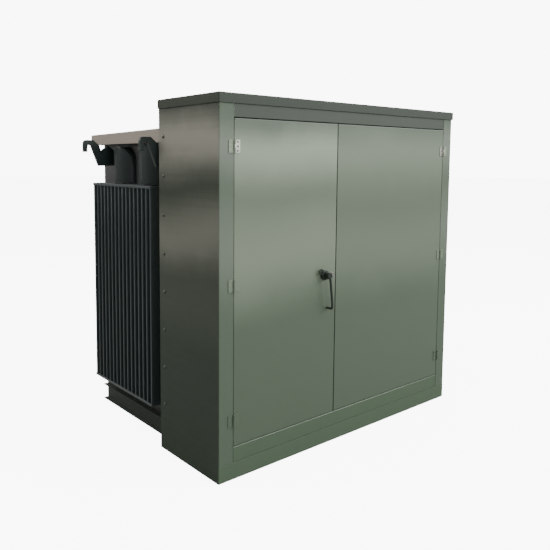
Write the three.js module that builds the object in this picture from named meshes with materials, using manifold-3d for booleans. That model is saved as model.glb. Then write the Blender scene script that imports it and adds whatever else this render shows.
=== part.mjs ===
// Pad-mounted distribution transformer: a steel terminal cabinet with a hood and two doors, fixed to the
// front of an oil tank that carries a fin radiator on each side. Millimetres, +Z up.
// Working frame: X = 0 on the centre plane, Y = 0 on the cabinet's front face, Z = 0 on the pad.
// The finished group is moved so that its origin is the centre of its own footprint.
import * as THREE from 'three';
import { mergeVertices } from 'three/addons/utils/BufferGeometryUtils.js';
import Module from 'manifold-3d';

const wasm = await Module();
wasm.setup();

// ---- Driving dimensions ----
const joint = 0.3; // gap between neighbours that are bolted, welded or gasketed together
const running = 0.5; // radial gap of a pin or shaft in its hole
const cabinet = { width: 1846, depth: 517, height: 1850, sheet: 3 };
const post = { width: 85, jamb: 40 };
const hood = { skirt: 47, gap: 4, sheet: 3, lift: 2 };
const rail = { toe: 85, sill: 78.5, header: 65, depth: 30, seam: 1.5 };
const door = { meeting: -133, gap: 3, skin: 2.5, depth: 28, lip: 18 };
const hinge = { leaf: 33, height: 60, thick: 3, knuckle: 6, pin: 3, inset: 131, rise: 2 };
const latch = { inset: 93, height: 937, boss: 26, shaft: 8, throw: 30 };
const lever = { reach: 50, length: 180, lean: 19, neck: 18, width: 12, depth: 14, toDoor: 8 };
const padlockEar = { out: 8, drop: 4, radius: 15, thick: 6, hole: 6.5, armLow: 12, armHigh: 24 };
const captive = { inset: 30, drop: 2, radius: 11, rim: 2.5, proud: 9, floor: 3 };
const backFrame = { thick: 5, wing: 140, flange: 60, below: 230 };
const tank = { side: 110, depth: 833, wall: 6, floor: 8, drop: 138, fall: 14, rim: 33, rimThick: 8 };
const cover = { overhang: 60, sheet: 3, plate: 5, skirt: 76, gasket: 4 };
const base = { height: 96, thick: 5, flange: 28, rear: 38 };
const stiffener = { proud: 80, wide: 200, arch: 80, lift: 7, below: 92, places: [232, 525] };
const hook = { reach: 210, thick: 16, below: 189, front: 28, rear: 142 };
// The hook's outline: levels above its foot, and runs out from the wall or back from the nose.
const hookEdge = {
  toe: 113, toeDrop: 3, throat: 25, nose: 27, noseFoot: 80, arch: 109, archRise: 17, corner: 25,
  crown: 152, crownRun: 66, shoulder: 120, shoulderRun: 104,
  dip: 89, dipOut: 97, hump: 119, humpOut: 48, root: 87,
};
const radiator = {
  fins: 16, pitch: 44.5, depth: 82, thick: 9, wallGap: 14, foot: 181, drop: 447, first: 122, air: 2,
};
const header = { size: 50, stub: 42, set: 6, inset: 70 };
const strap = { height: 14, thick: 5, sunk: 3, inset: 1, front: 5, rear: 9 };
const barrier = { thick: 3, front: 45, flange: 28 };
const core = { width: 1300, limb: 200, depth: 200, height: 1150, foot: 36 };
const beam = { inset: 120, width: 60, proud: 60 };
const coil = { bore: 146, outer: 246, spare: 30 };
const highVoltage = { pitch: 170, height: 1090, drop: 470 };
const fuseTube = { reach: 125, bore: 22, wall: 10, fuse: 20, plate: 12, margin: 60, half: 50, seat: 3 };
const lowVoltage = { pitch: 205, height: 1100, reach: 90 };
const spade = { length: 140, thick: 12, half: 42, sunk: 4, hole: 7, step: 44, first: 24, row: 22 };
const gauges = { drop: 350, pitch: 190 };
const relief = { cap: 34, eye: 11, wire: 2.5 };
const drain = {
  inset: 50, level: 235, reach: 95, stand: 60, ball: 28, stem: 14, bonnet: 62, wheel: 34, rim: 5,
};
const plate = { width: 230, height: 150, thick: 2, above: 145 };
const hoodBarrel = { half: 30, spread: 0.7, root: 20 };
const yoke = { half: 18, bar: 4, reach: 48, stem: 9, free: 12 };
const cam = { thick: 4, rim: 8, behindSkin: 4 };

// ---- Levels and planes worked out from them ----
const halfWidth = cabinet.width / 2;
const postInner = halfWidth - post.width;
const hoodUnder = cabinet.height - hood.sheet;
const skirtBottom = cabinet.height - hood.skirt;
const headerBottom = skirtBottom - rail.header + door.gap / 2;
const sillTop = rail.toe + rail.sill;
const doorBottom = sillTop + door.gap;
const doorTop = headerBottom - door.gap;
const tankFront = cabinet.depth + joint;
const tankRear = tankFront + tank.depth;
const tankSide = halfWidth - tank.side;
const coverFront = cabinet.height - tank.drop;
const coverRearY = tankRear + cover.overhang;
const skirtFoot = coverFront - cover.skirt;
const tankFloor = base.height + joint + tank.floor;
const radiatorTop = cabinet.height - radiator.drop;
const wallFace = tankFront - joint; // fittings on the tank's front wall start here

// ---- Finishes ----
const finish = (color, roughness, metalness) => (
  new THREE.MeshStandardMaterial({ color, roughness, metalness })
);
const finishes = {
  paint: finish(0x67745f, 0.35, 0.1),
  doorPaint: finish(0x74836c, 0.28, 0.1),
  tankPaint: finish(0x5c6462, 0.4, 0.1),
  coverPaint: finish(0xa29a8f, 0.5, 0.1),
  radiatorPaint: finish(0x2b3535, 0.45, 0.1),
  stainless: finish(0xc9c8c2, 0.3, 0.9),
  darkSteel: finish(0x232c24, 0.4, 0.6),
  epoxy: finish(0x5b4a3c, 0.5, 0.0),
  brass: finish(0xa98b4c, 0.35, 0.9),
  rubber: finish(0x1c1c1c, 0.8, 0.0),
  gauge: finish(0xd8d8d4, 0.3, 0.2),
  laminations: finish(0x6a6d72, 0.5, 0.8),
  winding: finish(0x9a6a42, 0.6, 0.2),
};

// ---- Solid helpers ----
// A closed solid from a three.js geometry, with its faces pointing out.
function solid(geometry) {
  const bare = geometry.clone();
  bare.deleteAttribute('normal');
  bare.deleteAttribute('uv');
  const merged = mergeVertices(bare, 1e-4);
  const points = merged.attributes.position.array;
  const index = Array.from(merged.index.array);
  const corner = (i) => new THREE.Vector3().fromArray(points, 3 * i);
  const triangles = [];
  let volume = 0;
  for (let i = 0; i < index.length; i += 3) {
    const [a, b, c] = index.slice(i, i + 3);
    if (a === b || b === c || c === a) continue;
    triangles.push([a, b, c]);
    volume += corner(a).dot(corner(b).cross(corner(c)));
  }
  const outward = volume < 0 ? triangles.map(([a, b, c]) => [a, c, b]) : triangles;
  const mesh = new wasm.Mesh({
    numProp: 3,
    vertProperties: new Float32Array(points),
    triVerts: new Uint32Array(outward.flat()),
  });
  return new wasm.Manifold(mesh);
}

const join = (first, ...others) => others.reduce((whole, piece) => whole.add(piece), first);
const cut = (first, ...others) => others.reduce((whole, piece) => whole.subtract(piece), first);

// A block between two planes on each axis, given in either order.
function block([x0, x1], [y0, y1], [z0, z1]) {
  const geometry = new THREE.BoxGeometry(Math.abs(x1 - x0), Math.abs(y1 - y0), Math.abs(z1 - z0));
  geometry.translate((x0 + x1) / 2, (y0 + y1) / 2, (z0 + z1) / 2);
  return solid(geometry);
}

const polygon = (points) => new THREE.Shape(points.map(([u, v]) => new THREE.Vector2(u, v)));
const vector = (x, y, z) => new THREE.Vector3(x, y, z);
// Turns a shape drawn flat so that its sweep runs along each axis.
const along = {
  x: new THREE.Matrix4().makeBasis(vector(0, 1, 0), vector(0, 0, 1), vector(1, 0, 0)),
  y: new THREE.Matrix4().makeBasis(vector(1, 0, 0), vector(0, 0, 1), vector(0, -1, 0)),
  z: new THREE.Matrix4(),
};

// An outline swept straight along one axis between two planes. Its points are the other two
// coordinates in X, Y, Z order.
function prism(axis, outline, from, to, curveSegments = 8) {
  const shape = Array.isArray(outline) ? polygon(outline) : outline;
  const low = Math.min(from, to);
  const high = Math.max(from, to);
  const sweep = { depth: high - low, bevelEnabled: false, curveSegments };
  const geometry = new THREE.ExtrudeGeometry(shape, sweep);
  geometry.applyMatrix4(along[axis]);
  const shift = { x: [low, 0, 0], y: [0, high, 0], z: [0, 0, low] }[axis];
  geometry.translate(...shift);
  return solid(geometry);
}

// A round bar along one axis. Its centre is the other two coordinates in X, Y, Z order.
function round(axis, radius, [from, to], [u, v], sides = 16) {
  const geometry = new THREE.CylinderGeometry(radius, radius, Math.abs(to - from), sides);
  const middle = (from + to) / 2;
  if (axis === 'x') geometry.rotateZ(Math.PI / 2).translate(middle, u, v);
  if (axis === 'y') geometry.translate(u, middle, v);
  if (axis === 'z') geometry.rotateX(Math.PI / 2).translate(u, v, middle);
  return solid(geometry);
}

// A turned piece that stands on the tank's front wall at (x, z) and points out to the doors.
// Its profile is [radius, distance from the wall] from the axis out and back to the axis.
function turned(profile, x, z, sides = 16) {
  const geometry = new THREE.LatheGeometry(profile.map(([r, d]) => new THREE.Vector2(r, d)), sides);
  geometry.rotateX(Math.PI).translate(x, wallFace - joint, z);
  return solid(geometry);
}

function ring(radius, tube, place, turn = [0, 0, 0], sides = 12) {
  const geometry = new THREE.TorusGeometry(radius, tube, 6, sides);
  geometry.rotateX(turn[0]).rotateY(turn[1]).rotateZ(turn[2]).translate(...place);
  return solid(geometry);
}

const unit = new THREE.Group();

function add(name, shape, material) {
  const mesh = shape.getMesh();
  const geometry = new THREE.BufferGeometry();
  geometry.setAttribute('position', new THREE.BufferAttribute(new Float32Array(mesh.vertProperties), 3));
  geometry.setIndex(new THREE.BufferAttribute(new Uint32Array(mesh.triVerts), 1));
  geometry.computeVertexNormals();
  const piece = new THREE.Mesh(geometry, material);
  piece.name = name;
  unit.add(piece);
}

const sides = [['left', -1], ['right', 1]];

// ---- Tank ----
// The cover's top falls towards the rear to shed rain, and the rim and gasket under it fall with it.
const coverTop = (y) => coverFront - (tank.fall * (y - tankFront)) / (coverRearY - tankFront);
const gasketTop = (y) => coverTop(y) - cover.plate - joint;
const rimTop = (y) => gasketTop(y) - cover.gasket - joint;

// A band that follows the cover's slope, between two heights given as functions of Y.
function slopedBand(lower, upper, from, to, halfSpan) {
  const outline = [[from, lower(from)], [to, lower(to)], [to, upper(to)], [from, upper(from)]];
  return prism('x', outline, -halfSpan, halfSpan);
}

// A half-round stiffener on the tank's side wall, standing over the radiator, with an arched head.
function stiffenerRib(side, place) {
  const foot = radiatorTop + stiffener.lift;
  const top = coverFront - stiffener.below;
  const shoulder = top - stiffener.arch;
  const middle = tankFront + place;
  const half = stiffener.wide / 2;
  const head = new THREE.Shape();
  head.moveTo(middle - half, foot);
  head.lineTo(middle + half, foot);
  head.lineTo(middle + half, shoulder);
  head.quadraticCurveTo(middle + half * 0.8, top, middle, top);
  head.quadraticCurveTo(middle - half * 0.8, top, middle - half, shoulder);
  head.closePath();
  const reach = [side * (tankSide - tank.wall / 2), side * (tankSide + stiffener.proud)];
  const arched = prism('x', head, Math.min(...reach), Math.max(...reach));
  const section = new THREE.Shape();
  section.absellipse(side * tankSide, middle, stiffener.proud, half, 0, Math.PI * 2);
  const rounded = prism('z', section, foot - 1, top + 1);
  return cut(arched, cut(arched, rounded));
}

// The space inside the tank's walls, from a level up past the cover.
function withinWalls(from) {
  const inside = tankSide - tank.wall;
  return block([-inside, inside], [tankFront + tank.wall, tankRear - tank.wall], [from, cabinet.height]);
}

function tankBody() {
  const bottom = () => base.height + joint;
  const rimUnder = (y) => rimTop(y) - tank.rimThick;
  const outer = slopedBand(bottom, rimTop, tankFront, tankRear, tankSide);
  const rim = slopedBand(rimUnder, rimTop, tankFront, tankRear + tank.rim, tankSide + tank.rim);
  const oilSpace = withinWalls(tankFloor);
  const ribs = sides.flatMap(([, side]) => stiffener.places.map((place) => stiffenerRib(side, place)));
  return cut(join(outer, rim, ...ribs), oilSpace);
}

function coverGasket() {
  const edge = tankSide + tank.rim;
  const under = (y) => gasketTop(y) - cover.gasket;
  const sheet = slopedBand(under, gasketTop, tankFront, tankRear + tank.rim, edge);
  return cut(sheet, withinWalls(0));
}

function tankCover() {
  const edge = tankSide + cover.overhang;
  const outer = slopedBand(() => skirtFoot, coverTop, tankFront, coverRearY, edge);
  const under = (y) => coverTop(y) - cover.plate;
  const low = () => skirtFoot - 1;
  const inner = slopedBand(low, under, tankFront - 1, coverRearY - cover.sheet, edge - cover.sheet);
  return cut(outer, inner);
}

add('tank_body', tankBody(), finishes.tankPaint);
add('cover_gasket', coverGasket(), finishes.rubber);
add('tank_cover', tankCover(), finishes.coverPaint);

// A channel outline lying on its side: its web at u = 0, its flanges reaching to u = reach.
function channelOutline(place, reach) {
  const back = place - Math.sign(reach) * base.thick;
  const tip = place + reach;
  return [
    [back, 0], [tip, 0], [tip, base.thick], [place, base.thick],
    [place, base.height - base.thick], [tip, base.height - base.thick],
    [tip, base.height], [back, base.height],
  ];
}

for (const [name, side] of sides) {
  const outline = channelOutline(side * tankSide, side * base.flange);
  add(`base_rail_${name}`, prism('y', outline, tankFront, tankRear), finishes.tankPaint);
}
const rearRailHalf = tankSide - base.thick - joint;
const rearOutline = channelOutline(tankRear - base.rear, base.rear);
add('base_rail_rear', prism('x', rearOutline, -rearRailHalf, rearRailHalf), finishes.tankPaint);

// Lifting hook: a thick plate that reaches out past the radiator, with a downward-facing throat for a sling.
function liftingHook(side, middleY) {
  const foot = coverFront - tank.fall - hook.below;
  const at = (out, up) => [side * (tankSide + joint + out), foot + up];
  const e = hookEdge;
  const throatIn = hook.reach - e.nose - e.throat;
  const throatOut = hook.reach - e.nose;
  const arch = e.arch + e.archRise;
  const shape = new THREE.Shape();
  shape.moveTo(...at(0, 0));
  shape.lineTo(...at(e.toe, -e.toeDrop));
  shape.lineTo(...at(throatIn, e.arch));
  shape.bezierCurveTo(...at(throatIn, arch), ...at(throatOut, arch), ...at(throatOut, e.arch));
  shape.lineTo(...at(throatOut, e.noseFoot));
  shape.lineTo(...at(hook.reach, e.noseFoot));
  shape.lineTo(...at(hook.reach, e.crown - e.corner));
  shape.quadraticCurveTo(...at(hook.reach, e.crown), ...at(hook.reach - e.corner, e.crown));
  shape.lineTo(...at(hook.reach - e.crownRun, e.crown));
  shape.lineTo(...at(hook.reach - e.shoulderRun, e.shoulder));
  shape.lineTo(...at(e.dipOut, e.dip));
  shape.lineTo(...at(e.humpOut, e.hump));
  shape.lineTo(...at(0, e.root));
  shape.closePath();
  return prism('y', shape, middleY - hook.thick / 2, middleY + hook.thick / 2, 6);
}

for (const [name, side] of sides) {
  add(`lifting_hook_front_${name}`, liftingHook(side, tankFront + hook.front), finishes.radiatorPaint);
  add(`lifting_hook_rear_${name}`, liftingHook(side, tankRear - hook.rear), finishes.radiatorPaint);
}

// Radiator: upright pressed fins on two header ducts, with short stub ducts into the tank and a strap
// across the fins' outer edges at each end.
function radiatorBank(side) {
  const inner = tankSide + radiator.wallGap;
  const outer = inner + radiator.depth;
  const first = tankFront + radiator.first;
  const last = first + (radiator.fins - 1) * radiator.pitch;
  const half = radiator.thick / 2;
  const fins = [];
  for (let i = 0; i < radiator.fins; i += 1) {
    const y = first + i * radiator.pitch;
    fins.push(block([side * inner, side * outer], [y - half, y + half], [radiator.foot, radiatorTop]));
  }
  const ductX = [side * (inner + header.set), side * (inner + header.set + header.size)];
  const levels = [radiator.foot + header.inset, radiatorTop - header.inset];
  const rise = (z, size) => [z - size / 2, z + size / 2];
  const ducts = levels.map((z) => block(ductX, [first, last], rise(z, header.size)));
  const stubX = [side * (tankSide + joint), ductX[0] + (side * header.size) / 2];
  const stubs = levels.flatMap((z) => [first, last - radiator.pitch].map((y) => (
    block(stubX, [y + half + radiator.air, y + radiator.pitch - half - radiator.air], rise(z, header.stub))
  )));
  const strapX = [side * (outer - strap.sunk), side * (outer - strap.sunk + strap.thick)];
  const straps = [radiator.foot + strap.inset, radiatorTop - strap.inset - strap.height].map((z) => (
    block(strapX, [first - strap.front, last + strap.rear], [z, z + strap.height])
  ));
  return join(fins[0], ...fins.slice(1), ...ducts, ...stubs, ...straps);
}

for (const [name, side] of sides) {
  add(`radiator_${name}`, radiatorBank(side), finishes.radiatorPaint);
}

// ---- Core and coils, inside the oil ----
const tankMiddle = (tankFront + tankRear) / 2;
const coreFoot = tankFloor + joint + core.foot;
const windowWidth = (core.width - 3 * core.limb) / 2;
const limbPitch = core.limb + windowWidth;

function coreStack() {
  const half = core.width / 2;
  const span = [tankMiddle - core.depth / 2, tankMiddle + core.depth / 2];
  const stack = block([-half, half], span, [coreFoot, coreFoot + core.height]);
  const windows = [-1, 1].map((side) => {
    const inner = (side * core.limb) / 2;
    const window = [coreFoot + core.limb, coreFoot + core.height - core.limb];
    return block([inner, inner + side * windowWidth], [span[0] - 1, span[1] + 1], window);
  });
  const beams = [-1, 1].map((side) => {
    const middle = side * (half - beam.inset);
    const across = [middle - beam.width / 2, middle + beam.width / 2];
    return block(across, [span[0] - beam.proud, span[1] + beam.proud], [tankFloor + joint, coreFoot + 1]);
  });
  return join(cut(stack, ...windows), ...beams);
}

add('core', coreStack(), finishes.laminations);
['a', 'b', 'c'].forEach((phase, i) => {
  const low = coreFoot + core.limb + coil.spare;
  const high = coreFoot + core.height - core.limb - coil.spare;
  const section = [
    [coil.bore, low], [coil.outer, low], [coil.outer, high], [coil.bore, high], [coil.bore, low],
  ];
  const geometry = new THREE.LatheGeometry(section.map(([r, z]) => new THREE.Vector2(r, z)), 24);
  geometry.rotateX(Math.PI / 2).translate((i - 1) * limbPitch, tankMiddle, 0);
  add(`coil_${phase}`, solid(geometry), finishes.winding);
});

// ---- Cabinet ----
const inside = halfWidth - cabinet.sheet; // inner face of a side panel
const panelTop = hoodUnder - hood.lift;

// Side panel and front post in one sheet. The toe rail crosses in front of the post's foot.
function sidePanel(side) {
  const s = cabinet.sheet;
  const outline = [
    [halfWidth, 0], [postInner, 0], [postInner, post.jamb], [postInner + s, post.jamb],
    [postInner + s, s], [inside, s], [inside, cabinet.depth], [halfWidth, cabinet.depth],
  ].map(([x, y]) => [side * x, y]);
  const sheet = prism('z', outline, 0, panelTop);
  const underPost = rail.toe + rail.seam;
  const postSpan = [side * (postInner - 1), side * (inside - joint)];
  const postFoot = block(postSpan, [-1, post.jamb + 1], [-1, underPost]);
  const frontEdge = block([side * (inside - 1), side * (halfWidth + 1)], [-1, s + joint], [-1, underPost]);
  return cut(sheet, postFoot, frontEdge);
}

// A front rail: a face sheet with a return along its top and bottom edges.
function frontRail(halfSpan, bottom, top) {
  const s = cabinet.sheet;
  const outline = [
    [0, bottom], [rail.depth, bottom], [rail.depth, bottom + s], [s, bottom + s],
    [s, top - s], [rail.depth, top - s], [rail.depth, top], [0, top],
  ];
  return prism('x', outline, -halfSpan, halfSpan);
}

for (const [name, side] of sides) {
  add(`side_panel_${name}`, sidePanel(side), finishes.paint);
}
const betweenPosts = postInner - joint;
const toeFace = block([-halfWidth, halfWidth], [0, cabinet.sheet], [0, rail.toe]);
add('toe_rail', join(frontRail(inside - joint, 0, rail.toe), toeFace), finishes.paint);
add('sill_panel', frontRail(betweenPosts, rail.toe + rail.seam, sillTop), finishes.paint);
add('header_rail', frontRail(betweenPosts, headerBottom, panelTop - hood.lift), finishes.paint);

// Back frame: the wings and top plate that carry the cabinet on the tank's front wall.
const frameFace = cabinet.depth - backFrame.thick;
function cabinetBackFrame() {
  const edge = inside - joint;
  const top = panelTop - hood.lift;
  const plate = block([-edge, edge], [frameFace, cabinet.depth], [cabinet.height - backFrame.below, top]);
  const flangeDepth = [frameFace - backFrame.flange, cabinet.depth];
  const wings = sides.flatMap(([, side]) => [
    block([side * edge, side * (edge - backFrame.wing)], [frameFace, cabinet.depth], [0, top]),
    block([side * edge, side * (edge - backFrame.thick)], flangeDepth, [0, top]),
  ]);
  return join(plate, ...wings);
}
add('back_frame', cabinetBackFrame(), finishes.paint);

// Barrier between the two compartments, behind the doors' meeting line.
const barrierBack = frameFace - joint;
const barrierOutline = [
  [door.meeting - barrier.thick, barrier.front], [door.meeting, barrier.front],
  [door.meeting, barrierBack - barrier.thick], [door.meeting + barrier.flange, barrierBack - barrier.thick],
  [door.meeting + barrier.flange, barrierBack], [door.meeting - barrier.thick, barrierBack],
];
add('compartment_barrier', prism('z', barrierOutline, cabinet.sheet, doorTop - door.gap), finishes.paint);

// ---- Hood, hinged along its rear edge ----
const hoodPin = { y: cabinet.depth + joint + hinge.knuckle + joint, z: cabinet.height - hinge.knuckle };
const hoodStations = [-1, 0, 1].map((turn) => turn * hoodBarrel.spread * (inside - backFrame.wing));

function hoodShell() {
  const outer = halfWidth + hood.gap + hood.sheet;
  const face = -hood.gap - hood.sheet;
  const shell = block([-outer, outer], [face, cabinet.depth], [skirtBottom, cabinet.height]);
  const innerEdge = halfWidth + hood.gap;
  const space = block([-innerEdge, innerEdge], [-hood.gap, cabinet.depth + 1], [skirtBottom - 1, hoodUnder]);
  const pinY = hoodPin.y;
  const earDepth = [cabinet.depth - hoodBarrel.root, pinY];
  const ears = hoodStations.map((x) => join(
    round('x', hinge.knuckle, [x - hoodBarrel.half, x + hoodBarrel.half], [pinY, hoodPin.z], 12),
    block([x - hoodBarrel.half, x + hoodBarrel.half], earDepth, [hoodUnder, cabinet.height]),
  ));
  const bores = hoodStations.map((x) => (
    round('x', hinge.pin + running, [x - hoodBarrel.half - 1, x + hoodBarrel.half + 1], [pinY, hoodPin.z], 12)
  ));
  return cut(join(cut(shell, space), ...ears), ...bores);
}
add('hood', hoodShell(), finishes.paint);

function hoodHinge() {
  const pinY = hoodPin.y;
  const end = hoodStations[2] + 2 * hoodBarrel.half + 1;
  const leafBack = cabinet.depth + joint + hinge.thick;
  const leafTop = hoodPin.z - hinge.knuckle - joint;
  const leaf = block([-end, end], [cabinet.depth + joint, leafBack], [skirtBottom, leafTop]);
  const barrels = hoodStations.flatMap((x) => [
    round('x', hinge.pin, [x - 2 * hoodBarrel.half, x + 2 * hoodBarrel.half], [pinY, hoodPin.z], 12),
    ...[-1, 1].flatMap((turn) => {
      const span = [x + turn * (hoodBarrel.half + joint), x + turn * 2 * hoodBarrel.half];
      const neck = block(span, [cabinet.depth + joint, leafBack], [skirtBottom, hoodPin.z]);
      return [round('x', hinge.knuckle, span, [pinY, hoodPin.z], 12), neck];
    }),
  ]);
  return join(leaf, ...barrels);
}
add('hood_hinge', hoodHinge(), finishes.stainless);

// ---- Doors and their butt hinges ----
const hingePin = { x: postInner - door.gap / 2, y: -joint - hinge.knuckle };
const middleHinge = (doorBottom + doorTop) / 2 + hinge.rise;
const hingeLevels = [doorBottom + hinge.inset, middleHinge, doorTop - hinge.inset];
const half = hinge.height / 2;
const knuckleHalf = hinge.height / 6;

// A knuckle's ring or solid end about the pin, from z0 to z1.
const knuckle = (side, z0, z1) => round('z', hinge.knuckle, [z0, z1], [side * hingePin.x, hingePin.y], 12);

// The door's leaf lies flat on its skin and reaches the pin only at the middle knuckle.
function doorLeaf(side, z) {
  const near = hingePin.x - hinge.knuckle - running;
  const far = hingePin.x - hinge.leaf;
  const face = [-joint - hinge.thick, door.skin / 2];
  const leaf = block([side * near, side * far], face, [z - half, z + half]);
  const inner = [z - knuckleHalf + joint, z + knuckleHalf - joint];
  const neck = block([side * near, side * hingePin.x], [-joint - hinge.thick, -joint], inner);
  return join(leaf, neck, knuckle(side, ...inner));
}

function hingeFrameLeaf(side, z) {
  const near = hingePin.x + hinge.knuckle + running;
  const far = hingePin.x + hinge.leaf;
  const face = [-joint - hinge.thick, -joint];
  const pin = round('z', hinge.pin, [z - half, z + half], [side * hingePin.x, hingePin.y], 12);
  const ends = [-1, 1].flatMap((turn) => {
    const span = [z + turn * (knuckleHalf + joint), z + turn * half];
    return [knuckle(side, ...span), block([side * near, side * hingePin.x], face, span)];
  });
  return join(block([side * near, side * far], face, [z - half, z + half]), pin, ...ends);
}

// A pan door: one sheet folded back on all four edges, with a lip, open at the back.
function doorPan(side, hingeEdge, freeEdge) {
  const inward = Math.sign(freeEdge - hingeEdge);
  const skin = door.skin;
  const pan = block([hingeEdge, freeEdge], [0, door.depth], [doorBottom, doorTop]);
  const within = (inset) => [
    [hingeEdge + inward * inset, freeEdge - inward * inset], [doorBottom + inset, doorTop - inset],
  ];
  const [wideX, wideZ] = within(skin);
  const [mouthX, mouthZ] = within(door.lip);
  const hollow = block(wideX, [skin, door.depth - skin], wideZ);
  const mouth = block(mouthX, [skin, door.depth + 1], mouthZ);
  const leaves = hingeLevels.map((z) => doorLeaf(side, z));
  const bores = hingeLevels.map((z) => (
    round('z', hinge.pin + running, [z - half, z + half], [side * hingePin.x, hingePin.y], 12)
  ));
  return cut(join(cut(pan, hollow, mouth), ...leaves), ...bores);
}

const leftFree = door.meeting - door.gap / 2;
const rightFree = door.meeting + door.gap / 2;
const hub = { x: door.meeting - latch.inset, z: latch.height };
const bolt = { x: door.meeting - captive.inset, z: latch.height - captive.drop };
const shaftHole = round('y', latch.shaft + running, [-30, door.depth], [hub.x, hub.z], 20);
const boltHole = round('y', captive.radius / 2 + running, [-30, door.depth], [bolt.x, bolt.z], 20);
const leftPan = doorPan(-1, -(postInner - door.gap), leftFree);
add('left_door', cut(leftPan, shaftHole, boltHole), finishes.doorPaint);
add('right_door', doorPan(1, postInner - door.gap, rightFree), finishes.doorPaint);

for (const [name, side] of sides) {
  ['lower', 'middle', 'upper'].forEach((level, i) => {
    add(`hinge_${name}_${level}`, hingeFrameLeaf(side, hingeLevels[i]), finishes.stainless);
  });
}

// ---- Handle and three-point latch on the left door ----
const bossDepth = 18;
const ear = [hub.x - latch.boss - padlockEar.out, hub.z + latch.boss - padlockEar.drop];
// Round boss with a padlock ear that stands clear of the door, so that a shackle passes behind it.
function escutcheon() {
  const front = -joint - bossDepth;
  const boss = round('y', latch.boss, [front, -joint], [hub.x, hub.z], 20);
  const shaftBore = round('y', latch.shaft + running, [front - 1, 0], [hub.x, hub.z], 16);
  const thickness = [front, front + padlockEar.thick];
  const tab = round('y', padlockEar.radius, thickness, ear);
  const arm = block([ear[0], hub.x], thickness, [hub.z + padlockEar.armLow, hub.z + padlockEar.armHigh]);
  const padlockHole = round('y', padlockEar.hole, [front - 1, 0], ear, 12);
  return cut(join(boss, tab, arm), shaftBore, padlockHole);
}
add('handle_escutcheon', escutcheon(), finishes.darkSteel);

function handleLever() {
  const out = -lever.reach;
  const hubPiece = join(
    round('y', lever.neck, [out, -joint - bossDepth - joint], [hub.x, hub.z], 20),
    round('y', latch.shaft, [out, door.skin + cam.behindSkin], [hub.x, hub.z], 20),
  );
  const barY = out + lever.depth / 2;
  const footZ = hub.z - lever.length;
  const top = new THREE.Vector3(hub.x + lever.width / 2, barY, hub.z - lever.neck / 4);
  const bend = new THREE.Vector3(hub.x + lever.lean + lever.width / 2, barY, footZ + lever.toDoor);
  const foot = new THREE.Vector3(bend.x, -lever.toDoor, footZ);
  const path = new THREE.CurvePath();
  const turnStart = bend.clone().lerp(top, 0.08);
  const turnEnd = new THREE.Vector3(bend.x, out + 1.5 * lever.depth, footZ);
  path.add(new THREE.LineCurve3(top, turnStart));
  path.add(new THREE.QuadraticBezierCurve3(turnStart, new THREE.Vector3(bend.x, barY, footZ), turnEnd));
  path.add(new THREE.LineCurve3(turnEnd, foot));
  const section = new THREE.Shape();
  section.absellipse(0, 0, lever.width / 2, lever.depth / 2, 0, 2 * Math.PI);
  const bar = new THREE.ExtrudeGeometry(section, { steps: 12, extrudePath: path, curveSegments: 4 });
  return join(hubPiece, solid(bar));
}
add('handle_lever', handleLever(), finishes.darkSteel);

// The cam turns with the lever inside the door. Each of its two studs moves in a rod's yoke, which is
// open towards the shaft and wide enough for the stud's curved path.
const camPlane = [door.skin + cam.behindSkin + joint, door.skin + cam.behindSkin + cam.thick];
const rodPlane = [camPlane[1] + joint, camPlane[1] + cam.thick];
function latchCam() {
  const disc = round('y', latch.throw + cam.rim, camPlane, [hub.x, hub.z], 20);
  const studs = [-1, 1].map((turn) => (
    round('y', yoke.bar, [camPlane[0], rodPlane[1]], [hub.x, hub.z + turn * latch.throw], 8)
  ));
  return join(disc, ...studs);
}
add('latch_cam', latchCam(), finishes.darkSteel);

function latchRod(turn) {
  const x = (out) => hub.x + turn * out;
  const inner = hub.z + turn * (latch.throw - yoke.half);
  const outer = hub.z + turn * (latch.throw + yoke.half);
  const end = (turn > 0 ? doorTop : doorBottom) - turn * (door.skin + 6);
  const outerBar = block([x(-yoke.stem), x(yoke.reach)], rodPlane, [outer - turn * yoke.bar, outer]);
  const sideBar = block([x(yoke.reach - yoke.bar), x(yoke.reach)], rodPlane, [inner, outer]);
  const innerBar = block([x(yoke.free), x(yoke.reach)], rodPlane, [inner, inner + turn * yoke.bar]);
  const stem = block([x(-yoke.stem), x(yoke.stem)], rodPlane, [outer - turn * (yoke.bar / 2), end]);
  return join(outerBar, sideBar, innerBar, stem);
}
add('latch_rod_upper', latchRod(1), finishes.stainless);
add('latch_rod_lower', latchRod(-1), finishes.stainless);

// Captive security bolt with a five-sided head in a shroud.
function captiveBolt() {
  const place = [bolt.x, bolt.z];
  const front = -joint - captive.proud;
  const shroud = round('y', captive.radius, [front, -joint], place, 20);
  const well = round('y', captive.radius - captive.rim, [front - 1, -joint - captive.floor], place, 20);
  const head = round('y', captive.radius / 2, [front + 1, 1 - joint - captive.floor], place, 5);
  const shank = round('y', captive.radius / 2, [-joint - 1, door.depth - captive.floor - 1], place, 12);
  return join(cut(shroud, well), head, shank);
}
add('captive_bolt', captiveBolt(), finishes.stainless);

// ---- High-voltage compartment, behind the left door ----
const highMiddle = (-postInner + door.meeting) / 2;
const phases = ['a', 'b', 'c'];
// Flange, shank, tapered well and stud, as [radius, distance from the wall].
const bushingProfile = [
  [0, 0], [62, 0], [62, 12], [44, 18], [44, 62], [33, 68], [27, 185], [10, 188], [10, 200], [0, 200],
];
phases.forEach((phase, i) => {
  const x = highMiddle + (i - 1) * highVoltage.pitch;
  add(`hv_bushing_${phase}`, turned(bushingProfile, x, highVoltage.height), finishes.epoxy);
});

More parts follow.
